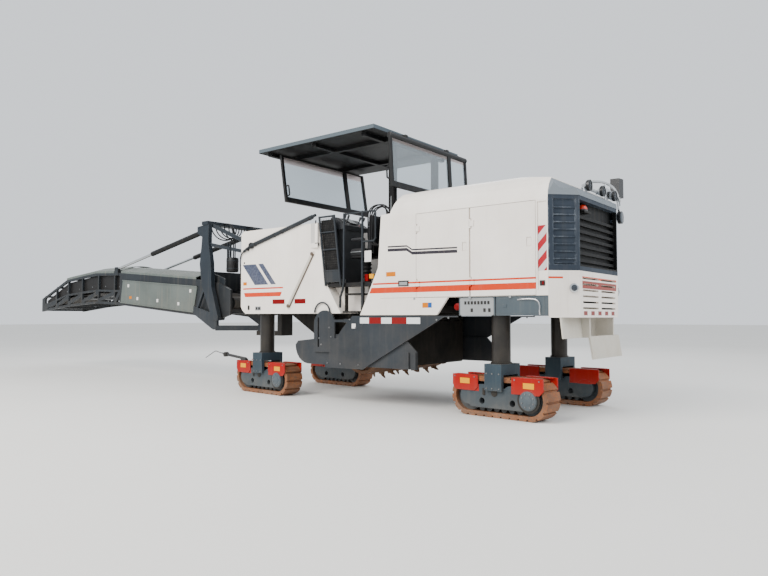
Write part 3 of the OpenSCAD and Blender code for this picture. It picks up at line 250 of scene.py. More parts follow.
WHITE, WHITE_SHADE = paint(250, 243, 234), paint(238, 230, 221)
STEEL, STEEL_SHADE = paint(38, 46, 54), paint(30, 37, 44)
BLACK, BLACK_SHADE = paint(22, 23, 25), paint(14, 15, 16)
ORANGE, ORANGE_RED = paint(204, 52, 0), paint(156, 10, 0)
SAFETY_RED = paint(124, 0, 5)
DUST, BARE = paint(176, 160, 138), paint(120, 116, 110)
RUST, RUST_DARK = paint(150, 84, 40), paint(84, 52, 34)


def start_material(name, metallic=0.0, coat=0.0):
    """A new material; returns it, its wires, its shader and the place of a point on the piece."""
    material = bpy.data.materials.new(name)
    material.use_nodes = True
    wires = Wires(material.node_tree)
    shader = material.node_tree.nodes["Principled BSDF"]
    shader.inputs["Metallic"].default_value = metallic
    shader.inputs["Coat Weight"].default_value = coat
    shader.inputs["Coat Roughness"].default_value = 0.15
    where = wires.node("TexCoord").outputs["Object"]
    return material, wires, shader, where


def rough_and_bump(wires, shader, rough, height, depth):
    wires.feed(shader.inputs["Roughness"], rough)
    bump = wires.node("Bump", {"Height": height, "Strength": 0.5, "Distance": depth})
    wires.feed(shader.inputs["Normal"], bump.outputs[0])


def painted(name, light, shade, marks=None, gloss=0.35, coat=0.2, wear=0.6, rusty=0.0, dust=0.5,
            dust_span=(0.3, 2.2), streaks=0.25, shine=0.5):
    """Sprayed steel: uneven shade, painted marks, worn edges, rust, rain streaks and dust."""
    material, wires, shader, where = start_material(name, coat=coat)
    shader.inputs["Specular IOR Level"].default_value = shine
    grain = wires.group("grain", {"Where": where, "Scale": 1.4})
    colour = wires.tint(grain["Shade"], shade, light)
    if marks:
        colour = marks(wires, where, colour)
    streak = wires.group("streaks", {"Where": where, "Amount": streaks})["Mask"]
    colour = wires.tint(streak, colour, DUST)
    worn = wires.group("edge_wear", {"Where": where, "Reach": 0.010, "Amount": wear})["Mask"]
    colour = wires.tint(worn, colour, BARE)
    rough = wires.ramp(grain["Shade"], 0.0, 1.0, gloss + 0.08, gloss)
    if rusty:
        rust = wires.group("rust", {"Where": where, "Scale": 4.0, "Cover": rusty})
        colour = wires.tint(rust["Mask"], colour, wires.tint(rust["Tone"], RUST_DARK, RUST))
        rough = wires.either(rough, wires.math("MULTIPLY", rust["Mask"], 0.85))
    settled = wires.group("dust", {"Where": where, "Full": dust_span[0], "Gone": dust_span[1],
                                   "Amount": dust})["Mask"]
    colour = wires.tint(settled, colour, DUST)
    rough = wires.either(rough, wires.math("MULTIPLY", settled, 0.9), wires.math("MULTIPLY", worn, 0.5))
    wires.feed(shader.inputs["Base Color"], colour)
    rough_and_bump(wires, shader, rough, grain["Height"], 0.0015)
    return material


def slanted(wires, place, x_at, z_at, lean):
    """How far a point is past a slanted line through (x_at, z_at) that leans by lean per metre of height."""
    shifted = wires.math("MULTIPLY_ADD", place[2], -lean, place[0])
    return wires.math("SUBTRACT", shifted, x_at - lean * z_at)


# heights of the thin and the thick stripe on the front body, and on the hood
FRONT_THIN, FRONT_THICK = (1.872, 1.898), (1.735, 1.812)
HOOD_THIN, HOOD_THICK = (1.866, 1.892), (1.735, 1.822)
TAIL_X = 7.29  # where the hood's doors end


def front_marks(wires, where, colour):
    """Stripes and the plain slanted patch on the front body's sides, and painted shade on the slope of its
    side box.
    """
    place = wires.xyz(where)
    thin = wires.slab(place, x=(1.46, 2.52), z=FRONT_THIN)
    thick = wires.product(wires.between(place[2], *FRONT_THICK),
                          wires.math("LESS_THAN", slanted(wires, place, 2.47, 1.77, 0.5), 0.0),
                          wires.math("GREATER_THAN", slanted(wires, place, 1.50, 1.77, -0.5), 0.0))
    colour = wires.tint(wires.either(thin, thick), colour, ORANGE)
    over = slanted(wires, place, 1.78, 1.95, -0.9)
    patch = wires.either(wires.between(over, 0.0, 0.36), wires.between(over, 0.43, 0.56))
    patch = wires.product(patch, wires.between(place[2], 1.95, 2.33))
    # painted shade: darker grey on the slanted face of the side box
    side_box_slope_shade = wires.product(wires.slab(place, x=(3.185, 3.326), z=(2.611, 3.02)),
                          wires.math("GREATER_THAN", wires.math("ABSOLUTE", place[1]), 1.211))
    colour = wires.tint(side_box_slope_shade, colour, paint(196, 192, 187))
    speck = wires.ramp(wires.noise(where, 30.0, 3.0, 0.6), 0.35, 0.65)
    return wires.tint(patch, colour, wires.tint(speck, paint(58, 64, 84), paint(84, 90, 108)))


def hood_marks(wires, where, colour):
    """Stripes that run back along the hood, pin lines, the striped warning strip and seams."""
    place = wires.xyz(where)
    x, y, z = place
    past = wires.math("GREATER_THAN", slanted(wires, place, 4.50, 1.74, 0.5), 0.0)
    ahead_of_strip = wires.math("LESS_THAN", x, TAIL_X)
    stripes = wires.either(wires.between(z, *HOOD_THICK), wires.between(z, *HOOD_THIN))
    colour = wires.tint(wires.product(stripes, past, ahead_of_strip), colour, ORANGE)
    # pin lines that step down and run back
    step = wires.ramp(x, 5.22, 5.32, 0.0, 0.06)
    level = wires.math("SUBTRACT", wires.math("SUBTRACT", 2.44, step), wires.ramp(x, 4.84, 6.1, 0.0, 0.03))
    under = wires.math("SUBTRACT", level, z)
    lines = wires.either(wires.between(under, -0.012, 0.012), wires.between(under, 0.028, 0.074))
    lines = wires.product(lines, wires.between(x, 4.86, 6.10))
    colour = wires.tint(lines, colour, paint(46, 43, 50))
    # red and white strip ahead of the louvres
    strip = wires.slab(place, x=(7.315, 7.445), z=(1.97, 2.56))
    slant = wires.math("FRACT", wires.math("DIVIDE", wires.math("ADD", z, wires.math("MULTIPLY", x, -1.1)),
                                           0.22))
    hatch = wires.tint(wires.math("GREATER_THAN", slant, 0.5), paint(206, 200, 200), paint(164, 14, 34))
    colour = wires.tint(strip, colour, hatch)
    seam = wires.slab(place, x=(4.72, TAIL_X), z=(1.655, 1.659))
    return wires.tint(seam, colour, paint(110, 104, 98))


def tail_marks(wires, where, colour):
    """Bands across the slotted rear panel and the stripes that end on its corner."""
    place = wires.xyz(where)
    x, y, z = place
    rear = wires.product(wires.math("GREATER_THAN", x, 7.757), wires.between(y, -0.87, 0.43))
    for span, tone in (((1.868, 1.900), paint(206, 62, 20)), ((1.742, 1.842), paint(140, 34, 20))):
        colour = wires.tint(wires.product(rear, wires.between(z, *span)), colour, tone)
    squares = wires.math("FRACT", wires.math("DIVIDE", wires.math("ADD", y, 2.0), 0.26))
    low_row = wires.product(rear, wires.between(z, 1.392, 1.448), wires.math("GREATER_THAN", squares, 0.5))
    colour = wires.tint(low_row, colour, SAFETY_RED)
    corner = wires.product(wires.math("LESS_THAN", x, 7.60), wires.between(z, *HOOD_THIN))
    return wires.tint(corner, colour, ORANGE)


def bogie_marks(wires, where, colour):
    """Guards over the track ends are painted red."""
    track = wires.group("track_place", {"Where": where})
    height = wires.xyz(where)[2]
    ends = wires.either(wires.between(track["Along"], -0.72, -0.255),
                        wires.between(track["Along"], 0.27, 0.78))
    wall, top = (wires.product(ends, wires.between(height, low, 0.60),
                               wires.math("GREATER_THAN", track["Across"], inner))
                 for low, inner in ((0.345, 0.1745), (0.557, 0.10)))
    return wires.tint(wires.either(wall, top), colour, ORANGE_RED)


def grille_marks(wires, where, colour):
    """Light cap over the louvres, and near-black painted shade for the depth behind the rear slats."""
    place = wires.xyz(where)
    x, y, z = place
    cap = wires.math("GREATER_THAN", z, 2.955)
    colour = wires.tint(cap, colour, paint(120, 127, 133))
    # painted shade: near black, darker than the black paint, over the rear slats' panel for the depth behind
    # them
    rear = wires.product(wires.slab(place, y=(-0.93, 0.49), z=(2.03, 2.90)),
                         wires.math("GREATER_THAN", x, 7.5))
    colour = wires.tint(rear, colour, paint(11, 12, 13))
    lips = wires.product(wires.math("SUBTRACT", 1.0, rear), wires.between(z, 2.0, 2.9))
    lip_edge = wires.group("edge_wear", {"Where": where, "Reach": 0.03, "Amount": 0.9})["Mask"]
    return wires.tint(wires.product(lips, lip_edge), colour, paint(120, 128, 138))


def lamp_marks(wires, where, colour):
    """Black lamp bodies and mirrors, and the orange beacon."""
    place = wires.xyz(where)
    x, y, z = place
    beacon = wires.product(wires.math("LESS_THAN", y, -0.5), wires.math("LESS_THAN", z, 2.92))
    bodies = wires.product(wires.math("GREATER_THAN", x, 7.715), wires.between(y, -0.62, 0.56))
    mirrors = wires.either(wires.slab(place, y=(0.722, 1.0), z=(3.165, 3.6)),
                           wires.slab(place, y=(0.70, 1.0), z=(2.6, 2.99)))
    colour = wires.tint(wires.either(bodies, mirrors), colour, paint(20, 21, 23))
    base = wires.product(beacon, wires.math("LESS_THAN", z, 2.806))
    colour = wires.tint(beacon, colour, paint(200, 44, 14))
    return wires.tint(base, colour, paint(30, 30, 32))


def canopy_marks(wires, where, colour):
    """Light grey edge and top of the roof over its black underside."""
    return wires.tint(wires.math("GREATER_THAN", wires.xyz(where)[2], 4.337), colour, paint(84, 94, 101))


def tracked_steel(name, light, dark_tone, metallic, cover):
    """Steel that runs on the ground: rust, scraped bright on its highest parts, packed dust."""
    material, wires, shader, where = start_material(name, metallic=metallic)
    rust = wires.group("rust", {"Where": where, "Scale": 3.0, "Cover": cover})
    worn = wires.group("edge_wear", {"Where": where, "Reach": 0.012, "Amount": 0.9})["Mask"]
    colour = wires.tint(rust["Tone"], dark_tone, light)
    colour = wires.tint(wires.math("MULTIPLY", rust["Mask"], 0.6), colour, RUST_DARK)
    colour = wires.tint(worn, colour, paint(166, 110, 58))
    settled = wires.group("dust", {"Where": where, "Full": 0.02, "Gone": 0.8, "Amount": 0.3})["Mask"]
    colour = wires.tint(settled, colour, DUST)
    wires.feed(shader.inputs["Base Color"], colour)
    rough_and_bump(wires, shader, wires.ramp(rust["Tone"], 0.0, 1.0, 0.62, 0.88), rust["Height"], 0.004)
    return material


def moulded(name, light, shade, rough, scale=40.0, depth=0.0006, coat=0.0, metallic=0.0, dust=0.12,
            shine=0.5):
    """Textured plastic, rubber or enamel in one colour with wear and dust."""
    material, wires, shader, where = start_material(name, metallic=metallic, coat=coat)
    shader.inputs["Specular IOR Level"].default_value = shine
    grain = wires.group("grain", {"Where": where, "Scale": scale / 20})
    texture = wires.noise(where, scale * 12, 2.0, 0.5)
    colour = wires.tint(grain["Shade"], shade, light)
    settled = wires.group("dust", {"Where": where, "Full": 0.3, "Gone": 2.6, "Amount": dust})["Mask"]
    colour = wires.tint(settled, colour, DUST)
    wires.feed(shader.inputs["Base Color"], colour)
    mean = wires.ramp(grain["Speck"], 0.0, 1.0, rough, min(rough + 0.15, 1.0))
    rough_and_bump(wires, shader, wires.either(mean, wires.math("MULTIPLY", settled, 0.8)), texture, depth)
    return material


def white(name, marks=None, wear=0.3, dust=0.14, streaks=0.1):
    """The body's white paint, with the marks of one panel."""
    return painted(name, WHITE, WHITE_SHADE, marks, gloss=0.32, coat=0.08, wear=wear, dust=dust,
                   streaks=streaks, shine=0.2)


def label(name, light, shade, **looks):
    """A thin printed label or plate in one colour."""
    return moulded(name, light, shade, 0.4, 20.0, 0.0002, **looks)


white_paint = white("white_paint")
front_paint = white("front_paint", front_marks)
hood_paint = white("hood_paint", hood_marks)
tail_paint = white("tail_paint", tail_marks, wear=0.35, dust=0.3, streaks=0.2)
steel_paint = painted("steel_paint", STEEL, STEEL_SHADE, gloss=0.45, coat=0.02, wear=0.6, rusty=0.04,
                      dust=0.09, streaks=0.04, shine=0.22)
truss_paint = painted("truss_paint", paint(34, 40, 45), paint(25, 30, 35), gloss=0.45, coat=0.02, wear=0.6,
                      rusty=0.06, dust=0.12, streaks=0.08, shine=0.25)
bogie_paint = painted("bogie_paint", paint(52, 66, 75), paint(42, 54, 62), bogie_marks, gloss=0.5, coat=0.0,
                      wear=0.75, rusty=0.10, dust=0.24, dust_span=(0.0, 0.5), streaks=0.06, shine=0.2)
black_paint = painted("black_paint", BLACK, BLACK_SHADE, gloss=0.42, coat=0.02, wear=0.4, dust=0.1,
                      streaks=0.05, shine=0.2)
canopy_paint = painted("canopy_paint", BLACK, BLACK_SHADE, canopy_marks, gloss=0.5, coat=0.0, wear=0.3,
                       dust=0.03, streaks=0.02, shine=0.12)
rail_paint = painted("rail_paint", paint(34, 40, 46), paint(26, 31, 36), gloss=0.42, coat=0.02, wear=0.6,
                     dust=0.1, streaks=0.05, shine=0.3)
louvre_paint = painted("louvre_paint", paint(54, 62, 72), paint(44, 52, 62), grille_marks, gloss=0.5,
                       coat=0.0, wear=0.35, dust=0.03, streaks=0.04, shine=0.15)
skirt_paint = painted("skirt_paint", paint(208, 204, 192), paint(184, 180, 168), gloss=0.5, coat=0.0,
                      wear=0.6, rusty=0.12, dust=0.6)
box_paint = painted("box_paint", paint(54, 71, 81), paint(45, 60, 69), gloss=0.45, coat=0.1, wear=0.6,
                    dust=0.15, streaks=0.1)
cover_paint = painted("cover_paint", paint(96, 104, 100), paint(79, 87, 84), gloss=0.45, coat=0.05, wear=0.5,
                      rusty=0.05, dust=0.2, streaks=0.2, shine=0.3)
lamp_finish = painted("lamp_finish", paint(188, 192, 196), paint(160, 164, 168), lamp_marks, gloss=0.3,
                      coat=0.1, wear=0.4, dust=0.04, streaks=0.02)
shoe_steel = tracked_steel("shoe_steel", paint(158, 84, 24), paint(84, 46, 22), 0.15, 0.5)
drum_steel = tracked_steel("drum_steel", paint(132, 92, 62), paint(78, 58, 46), 0.45, 0.5)
belt_rubber = moulded("belt_rubber", paint(44, 44, 45), paint(30, 30, 31), 0.75, 18.0, 0.002, dust=0.3)
console_plastic = moulded("console_plastic", paint(52, 54, 57), paint(40, 42, 45), 0.55, 60.0, 0.0008)
black_plastic = moulded("black_plastic", paint(26, 27, 29), paint(18, 19, 21), 0.42, 50.0, 0.0004, dust=0.08,
                        shine=0.3)
hose_rubber = moulded("hose_rubber", paint(22, 22, 23), paint(14, 14, 15), 0.5, 30.0, 0.0004, dust=0.07,
                      shine=0.25)
grey_plastic = moulded("grey_plastic", paint(150, 154, 156), paint(128, 132, 134), 0.5, 40.0, 0.0004)
amber_label = label("amber_label", paint(208, 118, 0), paint(200, 110, 0), dust=0.03, shine=0.1)
yellow_label = label("yellow_label", paint(232, 158, 0), paint(226, 158, 0), dust=0.04, shine=0.1)
white_label = label("white_label", paint(232, 230, 226), paint(212, 210, 206), coat=0.3)
blue_label = label("blue_label", paint(36, 90, 160), paint(28, 78, 146), dust=0.03, shine=0.15)
red_plastic = moulded("red_plastic", SAFETY_RED, paint(104, 0, 4), 0.3, 30.0, 0.0003, coat=0.03, dust=0.02,
                      shine=0.1)
hub_paint = moulded("hub_paint", paint(62, 78, 88), paint(52, 66, 76), 0.45, 20.0, 0.0004, dust=0.1)
stay_paint = moulded("stay_paint", paint(206, 200, 188), paint(186, 180, 168), 0.4, 20.0, 0.0003)
stay_edge = moulded("stay_edge", paint(92, 76, 62), paint(66, 54, 46), 0.5, 20.0, 0.0003)
# near black, darker than the black paint and with little sheen: the housing's dark steel, darkened further as
# painted shade of the space under the machine
housing_and_shade_paint = painted("housing_and_shade_paint", paint(16, 17, 18), paint(10, 11, 12), gloss=0.6, coat=0.0, wear=0.4,
                        rusty=0.08, dust=0.07, streaks=0.04, shine=0.06)
mirror_face = moulded("mirror_face", paint(96, 102, 108), paint(84, 90, 96), 0.12, 40.0, 0.0001, metallic=1.0,
                      dust=0.05)
seat_cloth = moulded("seat_cloth", paint(44, 45, 49), paint(30, 31, 34), 0.88, 30.0, 0.0012, dust=0.12)
bolt_steel = moulded("bolt_steel", paint(136, 138, 140), paint(104, 106, 108), 0.42, 40.0, 0.0003,
                     metallic=0.8)
chrome = moulded("chrome", paint(206, 208, 210), paint(186, 188, 190), 0.14, 40.0, 0.0001, metallic=1.0,
                 dust=0.08)
# dark steel of the leg columns, darkened further as painted shade of the shadow they stand in
column_steel_and_shade = moulded("column_steel_and_shade", paint(26, 27, 29), paint(16, 17, 19), 0.36, 30.0, 0.0003, metallic=0.2,
                       dust=0.1, shine=0.3)


def tape_material():
    """Retro-reflecting tape, white and red in turns, with the honeycomb of its face."""
    material, wires, shader, where = start_material("marker_tape", coat=0.03)
    shader.inputs["Specular IOR Level"].default_value = 0.1
    along = wires.xyz(where)[0]
    red = wires.either(wires.between(along, 4.492, 4.735), wires.between(along, 4.935, 5.215))
    cells = wires.node("TexVoronoi", {"Vector": where, "Scale": 160.0},
                       feature="DISTANCE_TO_EDGE").outputs["Distance"]
    colour = wires.tint(red, paint(226, 228, 228), SAFETY_RED)
    colour = wires.tint(wires.ramp(cells, 0.12, 0.0, 0.0, 0.12), colour, paint(120, 100, 100))
    settled = wires.group("dust", {"Where": where, "Full": 0.6, "Gone": 2.0, "Amount": 0.06})["Mask"]
    wires.feed(shader.inputs["Base Color"], wires.tint(settled, colour, DUST))
    rough_and_bump(wires, shader, wires.ramp(settled, 0.0, 1.0, 0.3, 0.6), cells, 0.0003)
    return material


def glass_material(name, tone, frosted_from=None):
    """Clear pane with faint dust, and a frosted strip along its head."""
    material, wires, shader, where = start_material(name)
    shader.inputs["Transmission Weight"].default_value = 0.8
    shader.inputs["IOR"].default_value = 1.15
    shader.inputs["Specular IOR Level"].default_value = 0.2
    haze = wires.ramp(wires.noise(where, 3.0, 5.0, 0.6), 0.4, 0.8, 0.02, 0.10)
    colour = wires.tint(haze, tone, paint(200, 204, 206))
    rough = haze
    if frosted_from:
        height = wires.xyz(where)[2]
        frosted = wires.ramp(height, frosted_from, frosted_from + 0.012)
        colour = wires.tint(frosted, colour, paint(196, 186, 184))
        rough = wires.either(rough, wires.math("MULTIPLY", frosted, 0.55))
    wires.feed(shader.inputs["Base Color"], colour)
    wires.feed(shader.inputs["Roughness"], rough)
    return material


def ground_material():
    material, wires, shader, where = start_material("studio_floor")
    cloud = wires.noise(where, 0.25, 4.0, 0.5)
    wires.feed(shader.inputs["Base Color"], wires.tint(cloud, paint(222, 220, 214), paint(232, 230, 226)))
    grit = wires.noise(where, 60.0, 3.0, 0.6)
    rough_and_bump(wires, shader, wires.ramp(grit, 0.3, 0.7, 0.82, 0.95), grit, 0.002)
    return material


marker_tape = tape_material()
pane_glass = glass_material("pane_glass", paint(216, 226, 232), 4.13)
lens_glass = glass_material("lens_glass", paint(90, 96, 104))
floor_finish = ground_material()


# Shaping
def pick_only(*objects):
    """Selects these objects alone and makes the first one active."""
    bpy.ops.object.select_all(action="DESELECT")
    for piece in objects:
        piece.select_set(True)
    bpy.context.view_layer.objects.active = objects[0]
    return objects[0]


def fix_place(piece):
    """Moves a piece's place, turn and size into its mesh."""
    pick_only(piece)
    bpy.ops.object.transform_apply(location=True, rotation=True, scale=True)
    return piece


def in_edit(piece, *steps):
    """Runs the edit steps on all of a piece's faces, then turns its faces outwards."""
    pick_only(piece)
    bpy.ops.object.mode_set(mode="EDIT")
    bpy.ops.mesh.select_all(action="SELECT")
    for step in steps:
        step()
    bpy.ops.mesh.select_all(action="SELECT")
    bpy.ops.mesh.normals_make_consistent(inside=False)
    bpy.ops.object.mode_set(mode="OBJECT")
    return piece


def push_out(push):
    """The edit step that draws the selected faces out along a vector."""
    return lambda: bpy.ops.mesh.extrude_region_move(TRANSFORM_OT_translate={"value": tuple(push)})


def ease_edges(piece, width, segments=2):
    """Rounds the sharp edges of a piece with a bevel that is applied."""
    pick_only(piece)
    bevel = piece.modifiers.new("eased_edges", "BEVEL")
    bevel.width = width
    bevel.segments = segments
    bevel.limit_method = "ANGLE"
    bevel.angle_limit = math.radians(40)
    bpy.ops.object.modifier_apply(modifier=bevel.name)
    return piece


def smooth(piece, angle=35):
    pick_only(piece)
    bpy.ops.object.shade_smooth_by_angle(angle=math.radians(angle))
    return piece


def block(low, high, edge=0.0, segments=2):
    """A box between two corners, its edges eased."""
    low, high = Vector(low), Vector(high)
    bpy.ops.mesh.primitive_cube_add(size=1.0, location=(low + high) / 2)
    piece = bpy.context.object
    piece.scale = high - low
    fix_place(piece)
    return ease_edges(piece, edge, segments) if edge else piece


def rod(start, end, radius, sides=24, edge=0.0, end_radius=None):
    """A round bar between two points, or a cone where its end has another radius."""
    start, end = Vector(start), Vector(end)
    turn = (end - start).to_track_quat("Z", "Y").to_euler()
    bpy.ops.mesh.primitive_cone_add(vertices=sides, radius1=radius, radius2=end_radius or radius,
                                    depth=(end - start).length, location=(start + end) / 2, rotation=turn)
    piece = fix_place(bpy.context.object)
    if edge:
        ease_edges(piece, edge)
    return smooth(piece)


def plate(corners, push, edge=0.0):
    """A flat outline through its corners, pushed out to a thickness."""
    bpy.ops.mesh.primitive_circle_add(vertices=len(corners), fill_type="NGON", radius=1.0)
    piece = bpy.context.object
    for vertex, corner in zip(piece.data.vertices, corners):
        vertex.co = corner
    in_edit(piece, push_out(push))
    return ease_edges(piece, edge) if edge else piece


def pipe(points, radius, sides=12, bend=True):
    """A round tube along points, made as a curve and turned into a mesh."""
    bpy.ops.curve.primitive_bezier_curve_add()
    curve = bpy.context.object
    curve.data.splines.clear()
    spline = curve.data.splines.new("BEZIER")
    spline.bezier_points.add(len(points) - 1)
    for knot, point in zip(spline.bezier_points, points):
        knot.co = point
        knot.handle_left_type = knot.handle_right_type = "AUTO" if bend else "VECTOR"
    curve.location = (0, 0, 0)
    curve.data.resolution_u = 6 if bend else 1
    curve.data.bevel_depth = radius
    curve.data.bevel_resolution = max(1, sides // 4 - 1)
    curve.data.use_fill_caps = True
    pick_only(curve)
    bpy.ops.object.convert(target="MESH")
    return smooth(in_edit(fix_place(bpy.context.object)), 60)


def joined(pieces):
    first = pick_only(*pieces)
    if len(pieces) > 1:
        bpy.ops.object.join()
    return first


def copied(piece, move=(0, 0, 0)):
    """A copy with its own mesh, moved."""
    pick_only(piece)
    bpy.ops.object.duplicate()
    twin = bpy.context.object
    twin.data.transform(Matrix.Translation(Vector(move)))
    return twin


def aimed(piece, place, direction):
    """Turns a piece made round +Z so that it points along a direction from its place."""
    turn = Vector(direction).to_track_quat("Z", "Y").to_matrix().to_4x4()
    piece.data.transform(Matrix.Translation(Vector(place)) @ turn)
    return piece


def flipped(piece):
    """The same piece on the other side of the machine."""
    twin = copied(piece)
    twin.data.transform(Matrix.Diagonal((1, -1, 1, 1)))
    return in_edit(twin)


def finished(piece, name, body, slot, *materials):
    """Names a piece, gives it its materials, and puts it on its body; its slot is not used."""
    piece.name = piece.data.name = name
    fix_place(piece)
    if materials:
        piece.data.materials.clear()
        for material in materials:
            piece.data.materials.append(material)
    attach(piece, body)
    return piece


def coated(piece, material):
    """Gives one part of a piece its own material before the parts are joined."""
    piece.data.materials.clear()
    piece.data.materials.append(material)
    return piece


def hex_bolt(size):
    """A hexagon head with its flange, made round +Z."""
    flange = rod((0, 0, 0), (0, 0, size * 0.25), size * 1.25, 20)
    bpy.ops.mesh.primitive_cylinder_add(vertices=6, radius=size, depth=size, location=(0, 0, size * 0.7))
    head = ease_edges(fix_place(bpy.context.object), size * 0.08, 1)
    return joined([flange, head])


def bolt_heads(size, places, direction):
    """Bolt heads at places, all pointing one way, as one piece."""
    first = hex_bolt(size)
    heads = [aimed(copied(first), place, direction) for place in places]
    bpy.data.objects.remove(first)
    return joined(heads)


# Floor
bpy.ops.mesh.primitive_plane_add(size=240.0, location=(0, 0, -0.002))
studio_floor = bpy.context.object
studio_floor.name = "studio_floor"
studio_floor.data.materials.append(floor_finish)
studio_floor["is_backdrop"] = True


# Materials of the CAD nodes
FINISHES = {
    "main_frame": black_paint, "leg_sleeves": black_paint, "outriggers": black_paint, "steps": black_paint,
    "drum_housing": housing_and_shade_paint, "side_plates": steel_paint, "primary_conveyor": black_paint,
    "front_body": front_paint, "hood": hood_paint, "engine_block": black_paint, "rear_grille": louvre_paint,
    "rear_panel": tail_paint, "rear_skirt": skirt_paint, "side_boxes": box_paint, "platform": black_paint,
    "consoles": console_plastic, "railings": rail_paint, "light_bar": lamp_finish,
    "canopy_roof": canopy_paint, "slew_frame": steel_paint, "conveyor_frame": truss_paint,
    "conveyor_belt": belt_rubber,
    # the scraper takes the near-black housing paint as painted shade, for the deep shade it sits in
    "conveyor_covers": cover_paint, "milling_drum": drum_steel, "scraper": housing_and_shade_paint,
}
for side, _ in SIDES:
    FINISHES["door_%s_front" % side] = FINISHES["door_%s_rear" % side] = hood_paint
    FINISHES["lift_barrel_" + side] = black_paint
    FINISHES["lift_rod_" + side] = chrome
    FINISHES["edge_plate_" + side] = steel_paint
for corner in CORNERS:
    FINISHES["leg_" + corner] = column_steel_and_shade
    FINISHES["bogie_" + corner] = bogie_paint
    FINISHES["track_" + corner] = shoe_steel
for name, finish in FINISHES.items():
    for material_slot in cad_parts[name].material_slots:
        material_slot.material = finish


# Canopy panes, handles and blind
def leaning(foot, head, y, u, out=0.0):
    """Point on a leaning pane: y across, u from its foot to its head, out along its normal."""
    run, rise = head[0] - foot[0], head[1] - foot[1]
    size = math.hypot(run, rise)
    return Vector((foot[0] + run * u + out * rise / size, y, foot[1] + rise * u - out * run / size))


def pane_frame(foot, head, ys, us, holes, thick):
    """Frame of a window unit: a grid with its openings deleted, then given its thickness."""
    bpy.ops.mesh.primitive_grid_add(x_subdivisions=len(ys) - 1, y_subdivisions=len(us) - 1, size=1.0)
    piece = bpy.context.object
    columns = len(ys)
    for i, vertex in enumerate(piece.data.vertices):
        vertex.co = leaning(foot, head, ys[i % columns], us[i // columns], -thick / 2)
    centres = [tuple(sum((piece.data.vertices[v].co for v in face.vertices), Vector()) / len(face.vertices))
               for face in piece.data.polygons]
    pick_only(piece)
    tools = bpy.context.tool_settings
    tools.mesh_select_mode = (False, False, True)
    for face, centre in zip(piece.data.polygons, centres):
        face.select = any(y0 < centre[1] < y1 and z0 < centre[2] < z1 for y0, y1, z0, z1 in holes)
    bpy.ops.object.mode_set(mode="EDIT")
    bpy.ops.mesh.delete(type="FACE")
    bpy.ops.object.mode_set(mode="OBJECT")
    tools.mesh_select_mode = (True, False, False)
    in_edit(piece, push_out(leaning(foot, head, 0, 0, thick / 2) - leaning(foot, head, 0, 0, -thick / 2)))
    return ease_edges(piece, 0.006)


# foot and head of each pane, how high its grip starts, and which way is into the cab
PANES = {"front": ((2.47, 3.41), (2.33, 4.2697), 0.12, 1), "rear": ((4.83, 3.40), (4.78, 4.2697), 0.17, -1)}
FRAME_YS, FRAME_US = (-1.12, -1.062, 0.55, 0.65, 1.115, 1.18), (0.0, 0.11, 0.965, 1.0)
for end, (foot, head, grip_low, inwards) in PANES.items():
    z_low, z_high = (foot[1] + u * (head[1] - foot[1]) for u in (0.08, 0.97))
    holes = [(FRAME_YS[i], FRAME_YS[i + 1], z_low, z_high) for i in (1, 3)]
    window_frame = pane_frame(foot, head, FRAME_YS, FRAME_US, holes, 0.044)
    if end == "front":
        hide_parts("canopy_panes")
    finished(window_frame, end + "_window_frame", "canopy", "pane", black_paint)
    corners = ((-1.10, 0.03), (1.16, 0.03), (1.16, 0.98), (-1.10, 0.98))
    glass = plate([leaning(foot, head, y, u, -0.003) for y, u in corners],
                  leaning(foot, head, 0, 0, 0.006) - leaning(foot, head, 0, 0, 0))
    finished(glass, end + "_window_glass", "canopy", "pane", pane_glass)
    grip = [leaning(foot, head, -1.09, grip_low + u, out * inwards) for u, out in
            ((0.0, 0.015), (0.0, 0.075), (0.02, 0.095), (0.19, 0.095), (0.21, 0.075), (0.21, 0.015))]
    finished(pipe(grip, 0.015, bend=False), end + "_window_grip", "canopy", "pane", black_plastic)
ROLLER_X, ROLLER_Z = 4.78, 4.225


def roller_bar(y, length, radius, edge=0.0):
    return rod((ROLLER_X, y, ROLLER_Z), (ROLLER_X, y + length, ROLLER_Z), radius, 32, edge)


roller = [roller_bar(-1.10, 2.26, 0.040)] + [roller_bar(y, 0.03, 0.046, 0.004) for y in (-1.115, 1.145)]
finished(joined(roller), "blind_roller", "canopy", "pane", black_plastic)
for side, sign in SIDES:
    y0, y1 = sorted((sign * 0.585, sign * 0.655))
    finished(block((4.54, y0, 4.205), (4.765, y1, 4.3295), 0.006), "blind_arm_" + side, "canopy", "pane",
             black_paint)


# Seats
SEAT_X, SEAT_Y, FLOOR_Z = 4.08, 0.80, 1.92  # the seat's column, and the platform's floor
SIM_FRAMES, SWELL_LIMIT, PAD_VOXEL = 18, 0.016, 0.0085
CHANNEL_DEPTH, CHANNEL_WIDTH = 0.007, 0.006


